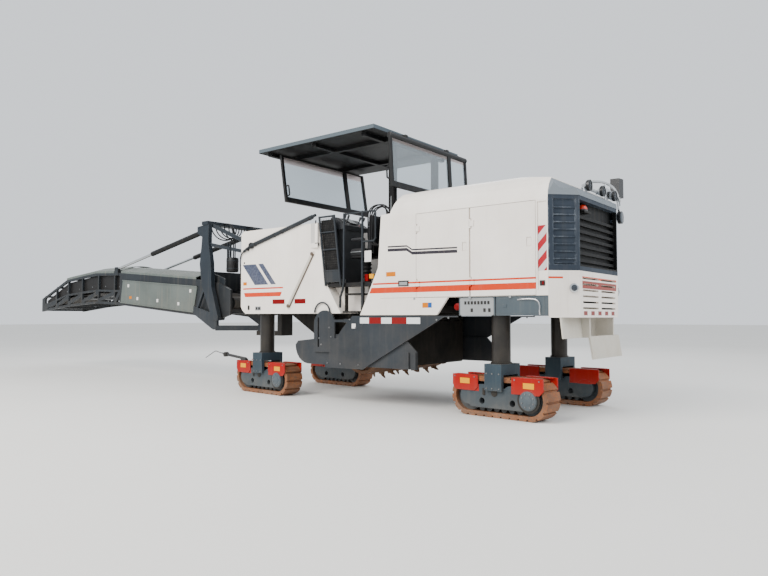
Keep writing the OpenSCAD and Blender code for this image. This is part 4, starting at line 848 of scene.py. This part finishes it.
def stuffed(low, high, channels=(), axis=0, top_axis=2):
    """A pad: an eased block, blown up as cloth, flattened where it rests, then quilted along channels."""
    pad = block(low, high, 0.032, 4)
    pick_only(pad)
    remesh = pad.modifiers.new("even_skin", "REMESH")
    remesh.mode = "VOXEL"
    remesh.voxel_size = PAD_VOXEL
    bpy.ops.object.modifier_apply(modifier=remesh.name)
    before = [vertex.co.copy() for vertex in pad.data.vertices]
    scene = bpy.context.scene
    scene.frame_set(1)
    cloth = pad.modifiers.new("stuffing", "CLOTH")
    cloth.settings.use_pressure = True
    cloth.settings.uniform_pressure_force = 4.0
    cloth.settings.effector_weights.gravity = 0.0
    cloth.settings.quality = 4
    cloth.point_cache.frame_start = 1
    cloth.point_cache.frame_end = SIM_FRAMES
    for step in range(1, SIM_FRAMES + 1):
        scene.frame_set(step)
    pick_only(pad)
    bpy.ops.object.modifier_apply(modifier=cloth.name)
    scene.frame_set(1)
    for vertex, start in zip(pad.data.vertices, before):
        move = vertex.co - start
        if move.length > SWELL_LIMIT:
            vertex.co = start + move * (SWELL_LIMIT / move.length)
    low, high = Vector(low), Vector(high)
    for vertex in pad.data.vertices:
        place = vertex.co
        if top_axis == 2:
            place.z = max(place.z, low.z)
        else:
            place.x = min(place.x, high.x)
        for channel in channels:
            dip = CHANNEL_DEPTH * math.exp(-((place[axis] - channel) / CHANNEL_WIDTH) ** 2)
            if top_axis == 2 and place.z > (low.z + high.z) / 2:
                place.z -= dip
            elif top_axis == 0 and place.x < (low.x + high.x) / 2:
                place.x += dip
    pick_only(pad)
    bpy.ops.object.shade_smooth()
    return pad


BACK_PIVOT = Vector((4.218, 0, 2.42))
back_lean = (Matrix.Translation(BACK_PIVOT) @ Matrix.Rotation(math.radians(4), 4, "Y")
             @ Matrix.Translation(-BACK_PIVOT))


def seat_block(x, y, z, edge):
    """A block of the seat, its y measured from the seat's middle."""
    return block((x[0], SEAT_Y + y[0], z[0]), (x[1], SEAT_Y + y[1], z[1]), edge)


def seat_bar(z, height, radius, edge=0.0, end_radius=None):
    """A round part of the seat's column."""
    return rod((SEAT_X, SEAT_Y, z), (SEAT_X, SEAT_Y, z + height), radius, 32 if edge else 28, edge,
               end_radius)


cushion = stuffed((3.885, SEAT_Y - 0.225, 2.378), (4.205, SEAT_Y + 0.225, 2.478), (3.96, 4.04, 4.12), 0, 2)
backrest = stuffed((4.228, SEAT_Y - 0.205, 2.45), (4.318, SEAT_Y + 0.205, 3.035), (2.60, 2.72, 2.84), 2, 0)
backrest.data.transform(back_lean)
armrest = stuffed((3.95, SEAT_Y - 0.265, 2.613), (4.225, SEAT_Y - 0.227, 2.658))
WELT_SIDE = ((3.93, 0.222), (4.05, 0.226), (4.17, 0.222))
welt_ring = [(3.90, -0.20)] + [(x, -y) for x, y in WELT_SIDE] + [(4.198, -0.19), (4.198, 0.19)]
welt_ring += list(reversed(WELT_SIDE)) + [(3.90, 0.20), (3.896, 0.0), (3.90, -0.20)]
welt = pipe([(x, SEAT_Y + y, 2.432) for x, y in welt_ring], 0.006, 8)
pan = seat_block((3.90, 4.26), (-0.20, 0.20), (2.335, 2.372), 0.01)
pedestal = [seat_bar(FLOOR_Z + 0.001, 0.029, 0.13, 0.006)]
for i in range(6):
    z = FLOOR_Z + 0.03 + i * 0.064
    pedestal += [seat_bar(z, 0.033, 0.062, end_radius=0.085),
                 seat_bar(z + 0.032, 0.033, 0.085, end_radius=0.062)]
holders = [seat_block((4.205, 4.24), (y - 0.011, y + 0.011), (2.36, 2.64), 0.004) for y in (-0.246, 0.246)]
holders += [seat_block((4.205, 4.24), span, (2.345, 2.372), 0.004)
            for span in ((-0.257, -0.19), (0.19, 0.257))]
spine = seat_block((4.322, 4.334), (-0.14, 0.14), (2.40, 2.98), 0.005)
spine.data.transform(back_lean)
shell_parts = [pan, spine] + pedestal + holders


def for_side(piece, sign):
    """The seat is made on the right-hand side, and the left one is its mirror image."""
    return flipped(piece) if sign < 0 else copied(piece)


for side, sign in SIDES:
    far_arm = copied(armrest, (0, 0.492, 0))
    pads = {"seat_cushion_": cushion, "seat_back_": backrest, "seat_arm_inner_": armrest,
            "seat_arm_outer_": far_arm}
    for name, pad in pads.items():
        piece = finished(for_side(pad, sign), name + side, "chassis", "seat", seat_cloth)
        bpy.ops.object.shade_smooth()
    bpy.data.objects.remove(far_arm)
    shell = joined([copied(part) for part in shell_parts])
    stand = finished(for_side(shell, sign), "seat_stand_" + side, "chassis", "seat", black_plastic)
    bpy.data.objects.remove(shell)
    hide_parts("seats")
    finished(for_side(welt, sign), "seat_welt_" + side, "chassis", "seat", grey_plastic)
for spare in [cushion, backrest, armrest, welt] + shell_parts:
    bpy.data.objects.remove(spare)


# Consoles
PANEL_NORMAL = Vector((0.524, 0.0, 0.852))


def on_panel(t, y, out=0.0):
    """Point on the console's sloping top: t from its near edge up to its far edge."""
    return Vector((3.86 - 0.26 * t, y, 2.88 + 0.16 * t)) + PANEL_NORMAL * out


def panel_plate(middle, low, high, half, out, thick, edge=0.0):
    """A flat plate on the console's top, from low to high up the slope and as broad as twice half."""
    corners = ((low, -half), (low, half), (high, half), (high, -half))
    return plate([on_panel(t, middle + y, out) for t, y in corners], PANEL_NORMAL * thick, edge)


def panel_knob(centre, low, high, radius, sides):
    """A round knob that stands on the console's top, between two heights over it."""
    return rod(centre + PANEL_NORMAL * low, centre + PANEL_NORMAL * high, radius, sides, 0.002)


for side, sign in SIDES:
    middle = sign * SEAT_Y
    parts = [coated(panel_plate(middle, 0.25, 0.9, 0.09, 0.001, 0.018, 0.004), black_plastic),
             coated(panel_plate(middle, 0.31, 0.84, 0.075, 0.019, 0.002), grey_plastic)]
    for row in range(4):
        for column in (-0.185, -0.15, 0.12):
            button = panel_knob(on_panel(0.2 + row * 0.2, middle + column), 0, 0.009, 0.011, 16)
            parts.append(coated(button, red_plastic if (row, column) == (0, 0.12) else grey_plastic))
    for y in (-0.24, 0.24):
        for ring in range(3):
            knob = panel_knob(on_panel(0.34, middle + y), 0.007 * ring, 0.007 * (ring + 1),
                              0.034 - 0.006 * ring, 20)
            parts.append(coated(knob, black_plastic))
    finished(joined(parts), "console_controls_" + side, "chassis", "console")

# Small fittings on the sides
HALF, NOSE_HALF = 1.25, 1.21


def side_slab(sign, x, z, face, thick, edge=0.002):
    """A flat piece on a side wall: spans along x and z, its back on the wall's face."""
    y0, y1 = sorted((sign * face, sign * (face + thick)))
    return block((x[0], y0, z[0]), (x[1], y1, z[1]), edge)


# flat fittings of both sides: name and slot, then for each slab its material, its spans along x and z, the
# wall's face that it sits on, its thickness and the radius of its edges
SIDE_FITTINGS = {
    ("side_reflector_%s_1", "body_white"): [
        (red_plastic, (2.26, 2.56), (1.60, 1.68), NOSE_HALF, 0.006, 0.002)],
    ("side_reflector_%s_2", "body_white"): [
        (red_plastic, (2.81, 3.07), (1.60, 1.68), NOSE_HALF, 0.006, 0.002)],
    ("marker_tape_%s", "frame_steel"): [(marker_tape, (4.31, 5.46), (1.27, 1.362), HALF, 0.0015, 0.0005)],
    ("tape_patch_%s", "frame_steel"): [(white_label, (4.14, 4.22), (1.19, 1.265), HALF, 0.0015, 0.0005)],
    ("front_label_%s", "body_white"): [(amber_label, (1.46, 1.56), (1.95, 2.01), NOSE_HALF, 0.001, 0.0004)],
    ("hood_label_%s", "body_white"): [(amber_label, (4.83, 5.01), (1.985, 2.055), HALF, 0.001, 0.0004)],
    ("skirt_label_%s", "body_white"): [(amber_label, (5.50, 5.60), (1.505, 1.58), HALF, 0.001, 0.0004),
                                       (blue_label, (5.60, 5.665), (1.505, 1.58), HALF, 0.001, 0.0004)],
    ("front_sockets_%s", "body_white"): [
        (grey_plastic, (1.80, 1.95), (1.49, 1.56), NOSE_HALF, 0.004, 0.002)] + [
        (black_plastic, (x, x + 0.045), (1.503, 1.548), NOSE_HALF + 0.003, 0.006, 0.002)
        for x in (1.815, 1.885)],
    ("nose_stud_%s", "body_white"): [(black_plastic, (1.475, 1.505), (2.35, 2.38), NOSE_HALF, 0.006, 0.002)],
    ("hood_latch_%s", "body_white"): [
        (black_plastic, (5.06, 5.255), (1.83, 1.915), HALF, 0.005, 0.002),
        (grey_plastic, (5.085, 5.23), (1.845, 1.895), HALF + 0.004, 0.003, 0.002)],
    ("tail_latch_%s", "body_white"): [
        (black_plastic, (7.34, 7.41), (1.775, 1.845), HALF - 0.014, 0.01, 0.002),
        (red_plastic, (7.372, 7.398), (1.79, 1.83), HALF - 0.005, 0.004, 0.002)],
    ("seam_catches_%s", "body_white"): [
        (grey_plastic, (x, x + 0.035), (1.625, 1.66), HALF, 0.003, 0.002) for x in (5.34, 6.28, 6.9)],
    ("tool_box_lid_%s", "frame_steel"): [(box_paint, (6.74, 7.40), (1.415, 1.625), 1.235, 0.003, 0.002),
                                         (box_paint, (6.80, 6.86), (1.50, 1.54), 1.238, 0.006, 0.002)],
    ("socket_board_%s", "plate_grey"): [
        (grey_plastic, (6.14, 6.65), (1.405, 1.628), 1.2255, 0.003, 0.001)] + [
        (black_plastic, (6.20 + i * 0.052, 6.232 + i * 0.052), (1.545, 1.59), 1.228, 0.006, 0.002)
        for i in range(8)] + [
        (black_plastic, (x, x + 0.036), (1.44, 1.49), 1.228, 0.006, 0.002) for x in (6.30, 6.50, 6.575)],
    ("socket_plate_rim_%s", "plate_grey"): [
        (grey_plastic, (6.13, 6.66), (z, z + 0.012), 1.225, 0.004, 0.002) for z in (1.395, 1.625)] + [
        (grey_plastic, (x, x + 0.012), (1.395, 1.637), 1.225, 0.004, 0.002) for x in (6.13, 6.648)],
    ("notice_plate_%s", "body_white"): [(white_label, (4.385, 4.52), (2.235, 2.41), 1.226, 0.004, 0.002)],
    ("stop_box_%s", "black_steel"): [(red_plastic, (4.36, 4.43), (1.935, 2.045), 1.15, 0.05, 0.006),
                                     (yellow_label, (4.45, 4.54), (1.975, 2.045), 1.15, 0.045, 0.004)],
}
PLATE_BOLTS = ((3.62, 0.62), (3.9, 0.62), (4.28, 0.62), (4.1, 1.33), (4.22, 1.2), (3.66, 1.20), (3.70, 1.05),
               (3.48, 0.92), (5.75, 1.33), (5.95, 1.36))
PIPE_TRACK = ((7.02, 0, 1.60), (7.10, 0.008, 1.605), (7.24, 0.008, 1.603), (7.31, 0.008, 1.58),
              (7.335, 0.008, 1.53), (7.335, 0.008, 1.44), (7.335, 0, 1.40))
for side, sign in SIDES:
    for (name, slot), slabs in SIDE_FITTINGS.items():
        finished(joined([coated(side_slab(sign, *spans), material) for material, *spans in slabs]),
                 name % side, "chassis", slot)
    plug = [rod((1.62, sign * NOSE_HALF, z), (1.62, sign * (NOSE_HALF + 0.005), z), 0.026, 24, 0.001)
            for z in (1.52, 1.56)]
    plug.append(side_slab(sign, (1.595, 1.645), (1.52, 1.56), NOSE_HALF, 0.005, 0.001))
    finished(joined(plug), "front_plug_" + side, "chassis", "body_white", black_plastic)
    # red side marker under the hood's rear skirt
    finished(rod((6.065, sign * 1.15, 1.515), (6.065, sign * 1.215, 1.515), 0.052, 28, 0.018),
             "side_marker_" + side, "chassis", "frame_steel", red_plastic)
    # bent bright pipe on the lower box
    bright_pipe = pipe([(x, sign * (HALF - 0.011 + out), z) for x, out, z in PIPE_TRACK], 0.012)
    finished(bright_pipe, "bright_pipe_" + side, "chassis", "lamp", chrome)
    # bolts of the side plates and the bracket
    places = [(x, sign * HALF, z) for x, z in PLATE_BOLTS]
    finished(bolt_heads(0.011, places, (0, sign, 0)), "side_plate_bolts_" + side, "chassis", "frame_steel",
             bolt_steel)
    # door paddles in their recesses
    for door, free_x in (("front", 6.31), ("rear", TAIL_X)):
        paddle = side_slab(sign, (free_x - 0.125, free_x - 0.065), (2.305, 2.41), HALF - 0.012, 0.005)
        finished(paddle, "door_paddle_%s_%s" % (side, door), "door_%s_%s" % (side, door), "body_white",
                 white_paint)


# Stay, tube sleeves and dark linings, some of which are dark sheets as painted shade
def on_tube(sign, x, y=1.2262):
    """Point on the tube that slants up along the front body's side."""
    return Vector((x, sign * y, 2.67 + (x - 1.70) * (3.078 - 2.67) / (3.32 - 1.70)))


def gate_lean(z):
    """How far the leaning gate has come forward at a height."""
    return 0.145 * (z - FLOOR_Z) / 1.11


def at_gate(sign, x, z, y=1.203):
    """Point on the leaning gate, its x measured at the platform's floor."""
    return (x - gate_lean(z), sign * y, z)


for side, sign in SIDES:
    low, high = Vector((2.672, sign * 1.2185, 1.563)), Vector((3.238, sign * 1.2185, 2.432))
    run = (high - low).normalized()
    across = Vector((run.z, 0, -run.x))
    stay = [coated(plate([low - across * 0.022, low + across * 0.022,
                          high + across * 0.022, high - across * 0.022],
                         (0, sign * 0.022, 0), 0.004), stay_paint)]
    for edge in (-0.028, 0.028):
        stay.append(coated(rod(low + across * edge, high + across * edge, 0.008, 12), stay_edge))
    stay += [coated(rod((p.x, sign * 1.212, p.z), (p.x, sign * 1.248, p.z), 0.032, 20, 0.004), stay_edge)
             for p in (low, high)]
    finished(joined(stay), "body_stay_" + side, "chassis", "body_white")

    sleeve = [coated(rod(on_tube(sign, 1.72), on_tube(sign, 3.24), 0.0365, 28), rail_paint)]
    for x in (1.80, 2.30, 2.485, 3.16):
        clamp = rod(on_tube(sign, x, 1.222), on_tube(sign, x + 0.03, 1.222), 0.041, 24, 0.003)
        sleeve.append(coated(clamp, black_plastic))
    for x, z, radius in ((1.70, 2.672, 0.058), (1.60, 2.612, 0.03)):
        foot = rod((x, sign * 1.195, z), (x, sign * 1.258, z), radius, 24, 0.008)
        sleeve.append(coated(foot, black_plastic))
    finished(joined(sleeve), "tube_sleeve_" + side, "chassis", "black_steel")

    # underside and catches of the side box: the black shelf and wedge under it are painted shade of its open
    # underside
    shade_shelf = plate([(3.20, sign * 1.206, 2.592), (3.33, sign * 1.258, 2.592), (3.388, sign * 1.258, 2.592),
                   (3.388, sign * 1.206, 2.592)], (0, 0, 0.0175), 0.002)
    shade_wedge = plate([(3.24, sign * 1.206, 2.555), (3.388, sign * 1.24, 2.555), (3.388, sign * 1.206, 2.555)],
                  (0, 0, 0.037))
    catches = [side_slab(sign, (3.335, 3.365), (2.93, 2.985), 1.2575, 0.005, 0.002),
               side_slab(sign, (3.56, 3.60), (1.60, 1.70), 1.17, 0.02, 0.003)]
    box_parts = [coated(part, black_plastic) for part in [shade_shelf, shade_wedge] + catches]
    finished(joined(box_parts), "side_box_fittings_" + side, "chassis", "body_white")

    # black ribbed mat behind the gate: low down the real mats, higher up a dark sheet as painted shade of the
    # platform's inside
    shade_and_mats = [plate([at_gate(sign, x, z) for x, z in
                   ((3.560, 2.13), (3.868, 2.13), (3.868, 2.98), (3.560, 2.98))], (0, sign * 0.004, 0), 0.001)]
    for i in range(9):
        x = 3.578 + i * 0.034
        shade_and_mats.append(rod(at_gate(sign, x, 2.14, 1.208), at_gate(sign, x, 2.96, 1.208), 0.006, 8))
    finished(joined(shade_and_mats), "gate_mats_" + side, "chassis", "black_steel", hose_rubber)
# black ribbed sheet across the hood's front: painted shade at the back of the platform
shade_linings = [plate([(4.573, 1.244, 1.935), (4.573, -1.244, 1.935),
                  (4.668, -1.244, 2.132), (4.668, 1.244, 2.132)], (-0.008, 0, 0.004), 0.002),
           plate([(4.668, 1.244, 2.132), (4.668, -1.244, 2.132), (4.721, -1.244, 2.93), (4.721, 1.244, 2.93)],
                 (-0.010, 0, 0), 0.002)]
for i in range(12):
    y = -1.1 + i * 0.2
    shade_linings.append(rod((4.656, y, 2.16), (4.706, y, 2.88), 0.008, 10))
finished(joined(shade_linings), "hood_front_lining", "chassis", "black_steel", hose_rubber)
# dark backing of the louvres on the cut corners, a sheet as painted shade behind their gaps: its two ends, and
# which way is in
LOUVRE_SHADE_BACKS = (("left", (7.465, -1.206), (7.742, -0.944), -1), ("right", (7.465, 1.197), (7.737, 0.522), 1))
for side, a, b, inwards in LOUVRE_SHADE_BACKS:
    a, b, rise = Vector((*a, 2.06)), Vector((*b, 2.06)), Vector((0, 0, 0.84))
    push = Vector((b.y - a.y, -(b.x - a.x), 0)).normalized() * (0.004 * inwards)
    finished(plate([a, b, b + rise, a + rise], push), "louvre_backing_" + side, "chassis", "louvre_grey",
             louvre_paint)
# wire rim of the flap under the rear end: along both its sides and its foot
(flap_x, flap_z), (foot_x, foot_z), flap_ys = (7.672, 1.112), (7.728, 0.803), (-0.455, 0.695)
rim = [rod((flap_x, y, flap_z), (foot_x, y, foot_z), 0.006, 10) for y in flap_ys]
rim.append(rod((foot_x, flap_ys[0], foot_z), (foot_x, flap_ys[1], foot_z), 0.006, 10))
finished(joined(rim), "flap_rim", "chassis", "plate_grey", white_label)


# Gate mesh
def gate_mesh(sign):
    """Wire mesh behind the leaning gate: a grid turned into wires."""
    bpy.ops.mesh.primitive_grid_add(x_subdivisions=9, y_subdivisions=22, size=1.0)
    piece = bpy.context.object
    for vertex in piece.data.vertices:
        u, v = vertex.co.x + 0.5, vertex.co.y + 0.5
        vertex.co = at_gate(sign, 3.552 + u * 0.324, 2.125 + v * 0.875, 1.219)
    pick_only(piece)
    wire = piece.modifiers.new("wires", "WIREFRAME")
    wire.thickness = 0.006
    bpy.ops.object.modifier_apply(modifier=wire.name)
    return piece


for side, sign in SIDES:
    finished(gate_mesh(sign), "gate_mesh_" + side, "chassis", "black_steel", black_paint)

# Lamps and mirrors at the rear
LAMP_Z = 3.145
for i, y in enumerate((-0.53, -0.01, 0.47)):
    lens = rod((7.751, y, LAMP_Z), (7.756, y, LAMP_Z), 0.068, 32, 0.002)
    finished(lens, "work_lamp_lens_%d" % (i + 1), "chassis", "lamp", lens_glass)
    bulb = rod((7.7505, y, LAMP_Z), (7.7545, y, LAMP_Z), 0.022, 16, 0.001)
    finished(bulb, "work_lamp_bulb_%d" % (i + 1), "chassis", "lamp", chrome)
ARCH_X, ARCH_FACE = 7.70, 7.696
ARCH_BEND = ((-0.64, 3.09), (-0.45, 3.19), (-0.10, 3.27), (0.30, 3.30), (0.62, 3.26), (0.83, 3.12))
ARCH_PLATE = ((-0.10, 3.13), (0.16, 3.235), (0.40, 3.235), (0.66, 3.13), (0.36, 3.10), (0.12, 3.10))
arch = [pipe([(ARCH_X, y, z) for y, z in ARCH_BEND], 0.02),
        plate([(ARCH_FACE, y, z) for y, z in ARCH_PLATE], (0.006, 0, 0), 0.002)]
arch += [rod((ARCH_X, y, 3.05), (ARCH_X, y, z), 0.012, 12)
         for y, z in ((-0.64, 3.10), (0.20, 3.29), (0.83, 3.13))]
finished(joined(arch), "lamp_arch", "chassis", "lamp", chrome)
face = rod((7.7325, 0.815, 2.87), (7.736, 0.815, 2.87), 0.082, 40, 0.001)
finished(face, "round_mirror_glass", "chassis", "lamp", mirror_face)
CORNER_LAMPS = (("left", (7.70, -1.01, 1.745), Vector((0.3, -0.3, 0)).normalized()),
                ("right", (7.69, 0.675, 1.745), Vector((0.75, 0.3, 0)).normalized()))
for side, place, outward in CORNER_LAMPS:
    ring = aimed(rod((0, 0, 0), (0, 0, 0.022), 0.062, 32, 0.006), place, outward)
    finished(ring, "corner_lamp_ring_" + side, "chassis", "lamp", chrome)
    bpy.ops.mesh.primitive_uv_sphere_add(segments=24, ring_count=12, radius=0.046, location=(0, 0, 0.016))
    glass = bpy.context.object
    glass.scale = (1, 1, 0.35)
    glass = smooth(aimed(fix_place(glass), place, outward))
    finished(glass, "corner_lamp_lens_" + side, "chassis", "lamp", lens_glass)

# Track units
# Places on a unit are measured from its column's axis: x along the track, y outwards. The guards' outer face
# is at GUARD_Y, and the track frame's at FRAME_Y.
HUB_X, HUB_Z, FRAME_Y, GUARD_Y = 0.5325, 0.2775, 0.1752, 0.1885


def unit_disc(x, z, y, thick, radius, sides, edge=0.0):
    """A round plate that faces outwards."""
    return rod((x, y, z), (x, y + thick, z), radius, sides, edge)


for corner in CORNERS:
    end, side = corner.split("_")
    sign = -1 if side == "left" else 1
    leg_x = LEG_XS[0] if end == "front" else LEG_XS[1]
    seat = (Matrix.Translation((leg_x, sign * LEG_Y, 0)) @ Matrix.Rotation(-PARK, 4, "Z")
            @ Matrix.Diagonal((1, sign, 1, 1)))

    hub = [coated(unit_disc(HUB_X, HUB_Z, FRAME_Y, 0.0023, 0.168, 48), hose_rubber),
           coated(unit_disc(HUB_X, HUB_Z, 0.192, 0.007, 0.124, 40, 0.003), hub_paint),
           coated(unit_disc(HUB_X, HUB_Z, 0.198, 0.005, 0.06, 32, 0.003), hub_paint),
           coated(unit_disc(0, 0.335, FRAME_Y, 0.0068, 0.05, 32, 0.003), hose_rubber),
           coated(block((-0.19, FRAME_Y, 0.30), (-0.15, 0.188, 0.39), 0.004), hose_rubber)]
    turns = [2 * math.pi * (i + 0.5) / 8 for i in range(8)]
    spots = [(HUB_X + 0.092 * math.cos(turn), 0.199, HUB_Z + 0.092 * math.sin(turn)) for turn in turns]
    spots += [(x, 0.2295, z) for x in (-0.09, 0.0, 0.11) for z in (0.40, 0.60)]
    spots += [(x, GUARD_Y, 0.535) for x in (-0.66, -0.32, 0.33, 0.70)]
    labels = [block((x, GUARD_Y, z), (x + 0.165, GUARD_Y + 0.0015, z + 0.075), 0.0005)
              for x, z in ((-0.57, 0.44), (0.46, 0.43))]
    for piece, name, materials in ((joined(hub), "hub_cover_", ()),
                                   (bolt_heads(0.009, spots, (0, 1, 0)), "track_bolts_", (bolt_steel,)),
                                   (joined(labels), "guard_labels_", (yellow_label,))):
        piece.data.transform(seat)
        finished(in_edit(piece), name + corner, "track_unit_" + corner, "frame_steel", *materials)

# Conveyor idlers and patches
BELT_PATH = ((-7.56, 1.72), (-6.38, 2.01), (-4.94, 2.09), (-3.70, 2.04), (-0.70, 1.78), (0.20, 1.65))


def belt_height(x):
    """Height of the belt over the ground."""
    for (x0, z0), (x1, z1) in zip(BELT_PATH, BELT_PATH[1:]):
        if x0 <= x <= x1:
            return z0 + (z1 - z0) * (x - x0) / (x1 - x0)
    return BELT_PATH[-1][1]


def idler(x, z, *spans):
    """Rollers on one axle, each from y0 to y1."""
    rollers = [rod((x, y0, z), (x, y1, z), 0.044, 18, 0.004) for y0, y1 in spans]
    return rollers + [rod((x, -0.545, z), (x, 0.545, z), 0.016, 12)]


idlers = []
for i in range(11):
    x = -7.1 + i * 0.64
    idlers += idler(x, belt_height(x) + 0.054, (-0.43, -0.15), (-0.14, 0.14), (0.15, 0.43))
    if i % 2 == 0:
        idlers += idler(x, belt_height(x) - 0.168, (-0.46, 0.46))
finished(joined(idlers), "belt_idlers", "conveyor", "frame_steel", bolt_steel)
COVER_Y = 0.62
PATCHES = ((-3.387, 2.11), (-0.966, 1.93), (-2.996, 1.80), (-2.186, 1.74), (-1.391, 1.66))
SKIRT_RISE = (0.33, 0.32, 0.26, 0.10)  # how far the belt's skirt stands over the belt, from the foot up
for side, sign in SIDES:
    pads = [side_slab(sign, (x - 0.035, x + 0.035), (z - 0.035, z + 0.035), COVER_Y, 0.004)
            for x, z in PATCHES]
    finished(joined(pads), "cover_patches_" + side, "conveyor", "cover_grey", white_label)
    finished(side_slab(sign, (-3.34, -3.24), (1.80, 1.86), COVER_Y, 0.0015, 0.0005), "cover_label_" + side,
             "conveyor", "cover_grey", amber_label)
    outline = [(x, z - 0.085) for x, z in BELT_PATH[:4]]
    outline += [(x, z + rise) for (x, z), rise in zip(BELT_PATH[3::-1], SKIRT_RISE)]
    board = plate([(x, sign * 0.534, z) for x, z in outline], (0, sign * 0.006, 0))
    finished(board, "belt_skirt_" + side, "conveyor", "belt", hose_rubber)

# Feeler arm ahead of the left front track
FEELER_Y = -1.09
wire_bend = ((0.74, 0.675), (0.53, 0.712), (0.50, 0.708), (0.22, 0.575))
feeler = [coated(rod((1.42, FEELER_Y, 0.598), (0.80, FEELER_Y, 0.665), 0.026, 20, 0.004), rail_paint),
          coated(block((1.30, FEELER_Y - 0.035, 0.565), (1.44, FEELER_Y + 0.035, 0.60), 0.006), rail_paint),
          coated(rod((0.84, FEELER_Y - 0.04, 0.66), (0.84, FEELER_Y + 0.04, 0.66), 0.045, 24, 0.006),
                 black_plastic),
          coated(rod((0.80, FEELER_Y, 0.662), (0.72, FEELER_Y, 0.68), 0.014, 16, 0.002), bolt_steel),
          coated(pipe([(x, FEELER_Y, z) for x, z in wire_bend], 0.009, bend=False), bolt_steel)]
finished(joined(feeler), "feeler_arm", "track_unit_front_left", "frame_steel")

# Reservoirs on the slewing frame
TANK_X, TANK_Y = 0.10, 0.36
for side, sign in SIDES:
    y, strap_y = sign * TANK_Y, sign * 0.44
    tank = [coated(rod((TANK_X, y, 2.30), (TANK_X, y, 2.60), 0.125, 36, 0.02), black_plastic)]
    tank += [coated(rod((TANK_X, y, z), (TANK_X, y, z + 0.02), 0.129, 36, 0.003), rail_paint)
             for z in (2.36, 2.52)]
    tank += [coated(block((x - 0.015, strap_y - 0.02, 2.55), (x + 0.015, strap_y + 0.02, 2.89), 0.004),
                    rail_paint) for x in (0.05, 0.13)]
    finished(joined(tank), "slew_reservoir_" + side, "slew", "black_steel")

# Hoses and aerial
NOSE_HOSE = [(1.515, 1.2348, 2.580), (1.47, 1.2345, 2.562), (1.425, 1.232, 2.52), (1.396, 1.228, 2.455),
             (1.385, 1.222, 2.38), (1.383, 1.216, 2.30), (1.383, 1.210, 2.20), (1.383, 1.205, 2.10),
             (1.384, 1.200, 2.02), (1.390, 1.195, 1.95), (1.402, 1.190, 1.90), (1.425, 1.186, 1.87)]


def smooth_route(points, steps=5):
    """More points along a route, on a smooth line through the given ones."""
    points = [Vector(p) for p in points]
    ends = [2 * points[0] - points[1]] + points + [2 * points[-1] - points[-2]]
    route = []
    for a, b, c, d in zip(ends, ends[1:], ends[2:], ends[3:]):
        for i in range(steps):
            t = i / steps
            route.append(0.5 * ((2 * b) + (c - a) * t + (2 * a - 5 * b + 4 * c - d) * t ** 2
                                + (3 * b - a - 3 * c + d) * t ** 3))
    return route + [points[-1]]


def add_hose(name, body, route, radius):
    """A hose along its route, made as a tube."""
    hose = finished(pipe(route, radius, bend=False), name, body, "black_steel", hose_rubber)


for side, sign in SIDES:
    route = [Vector((p.x, sign * p.y, p.z)) for p in smooth_route(NOSE_HOSE)]
    add_hose("nose_hose_" + side, "chassis", route, 0.011)

# hoses that leave the ledge ahead of the hood's roof, arch over and go back into its front
LEDGE_X, LEDGE_Z, FRONT_X, ENTRY_Z = 4.765, 2.945, 4.70, 2.50
ARCH, TURN = 0.15, 0.15  # height of the arch, and radius of the last turn


def cab_hose_knots(top, reach):
    """Side view of a hose: up from the ledge, half an ellipse over, a quarter turn into the hood's front."""
    half = reach / 2
    knots = [(LEDGE_X, LEDGE_Z), (LEDGE_X, (LEDGE_Z + top - ARCH) / 2)]
    knots += [(LEDGE_X - half + half * math.cos(t), top - ARCH + ARCH * math.sin(t))
              for t in (math.pi * k / 8 for k in range(9))]
    knots.append((LEDGE_X - reach, (top - ARCH + ENTRY_Z + TURN) / 2))
    knots += [(LEDGE_X - reach + TURN - TURN * math.cos(t), ENTRY_Z + TURN - TURN * math.sin(t))
              for t in (math.pi * k / 8 for k in range(5))]
    return knots + [(FRONT_X, ENTRY_Z)]


for side, sign in SIDES:
    for i, (top, reach) in enumerate(((3.115, 0.36), (3.145, 0.40), (3.105, 0.335), (3.13, 0.375))):
        y = sign * (1.03 + 0.04 * i)
        route = smooth_route([(x, y, z) for x, z in cab_hose_knots(top, reach)], 3)
        add_hose("cab_hose_%s_%d" % (side, i + 1), "chassis", route, 0.011)
# hoses under the mast's cross bar, each half an ellipse, and from the bar down to the reservoirs
BAR_X, BAR_UNDER = -0.325, 3.285
for i in range(6):
    x, middle, half, sag = BAR_X - 0.075 + 0.03 * i, -0.19 + 0.07 * i, 0.33 - 0.02 * i, 0.27 - 0.025 * (i % 3)
    route = [Vector((x, middle - half * math.cos(t), BAR_UNDER - sag * math.sin(t)))
             for t in (math.pi * k / 24 for k in range(25))]
    add_hose("mast_hose_%d" % (i + 1), "slew", route, 0.013)
TANK_HOSE = ((-0.225, 3.33), (-0.15, 3.335), (-0.05, 3.31), (0.04, 3.22), (0.085, 3.08), (TANK_X, 2.90),
             (TANK_X, 2.75), (TANK_X, 2.60))
for side, sign in SIDES:
    for i, y in enumerate((0.295, 0.338)):
        route = smooth_route([(x, sign * y, z) for x, z in TANK_HOSE], 4)
        add_hose("tank_hose_%s_%d" % (side, i + 1), "slew", route, 0.013)
AERIAL_X, AERIAL_Y = 4.78, -1.06
aerial = [rod((AERIAL_X, AERIAL_Y, 2.94), (AERIAL_X, AERIAL_Y, 3.02), 0.016, 16, 0.003),
          rod((AERIAL_X, AERIAL_Y, 3.0), (AERIAL_X, AERIAL_Y, 3.26), 0.006, 10, 0, 0.004)]
finished(joined(aerial), "aerial", "chassis", "body_white", grey_plastic)

low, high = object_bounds()
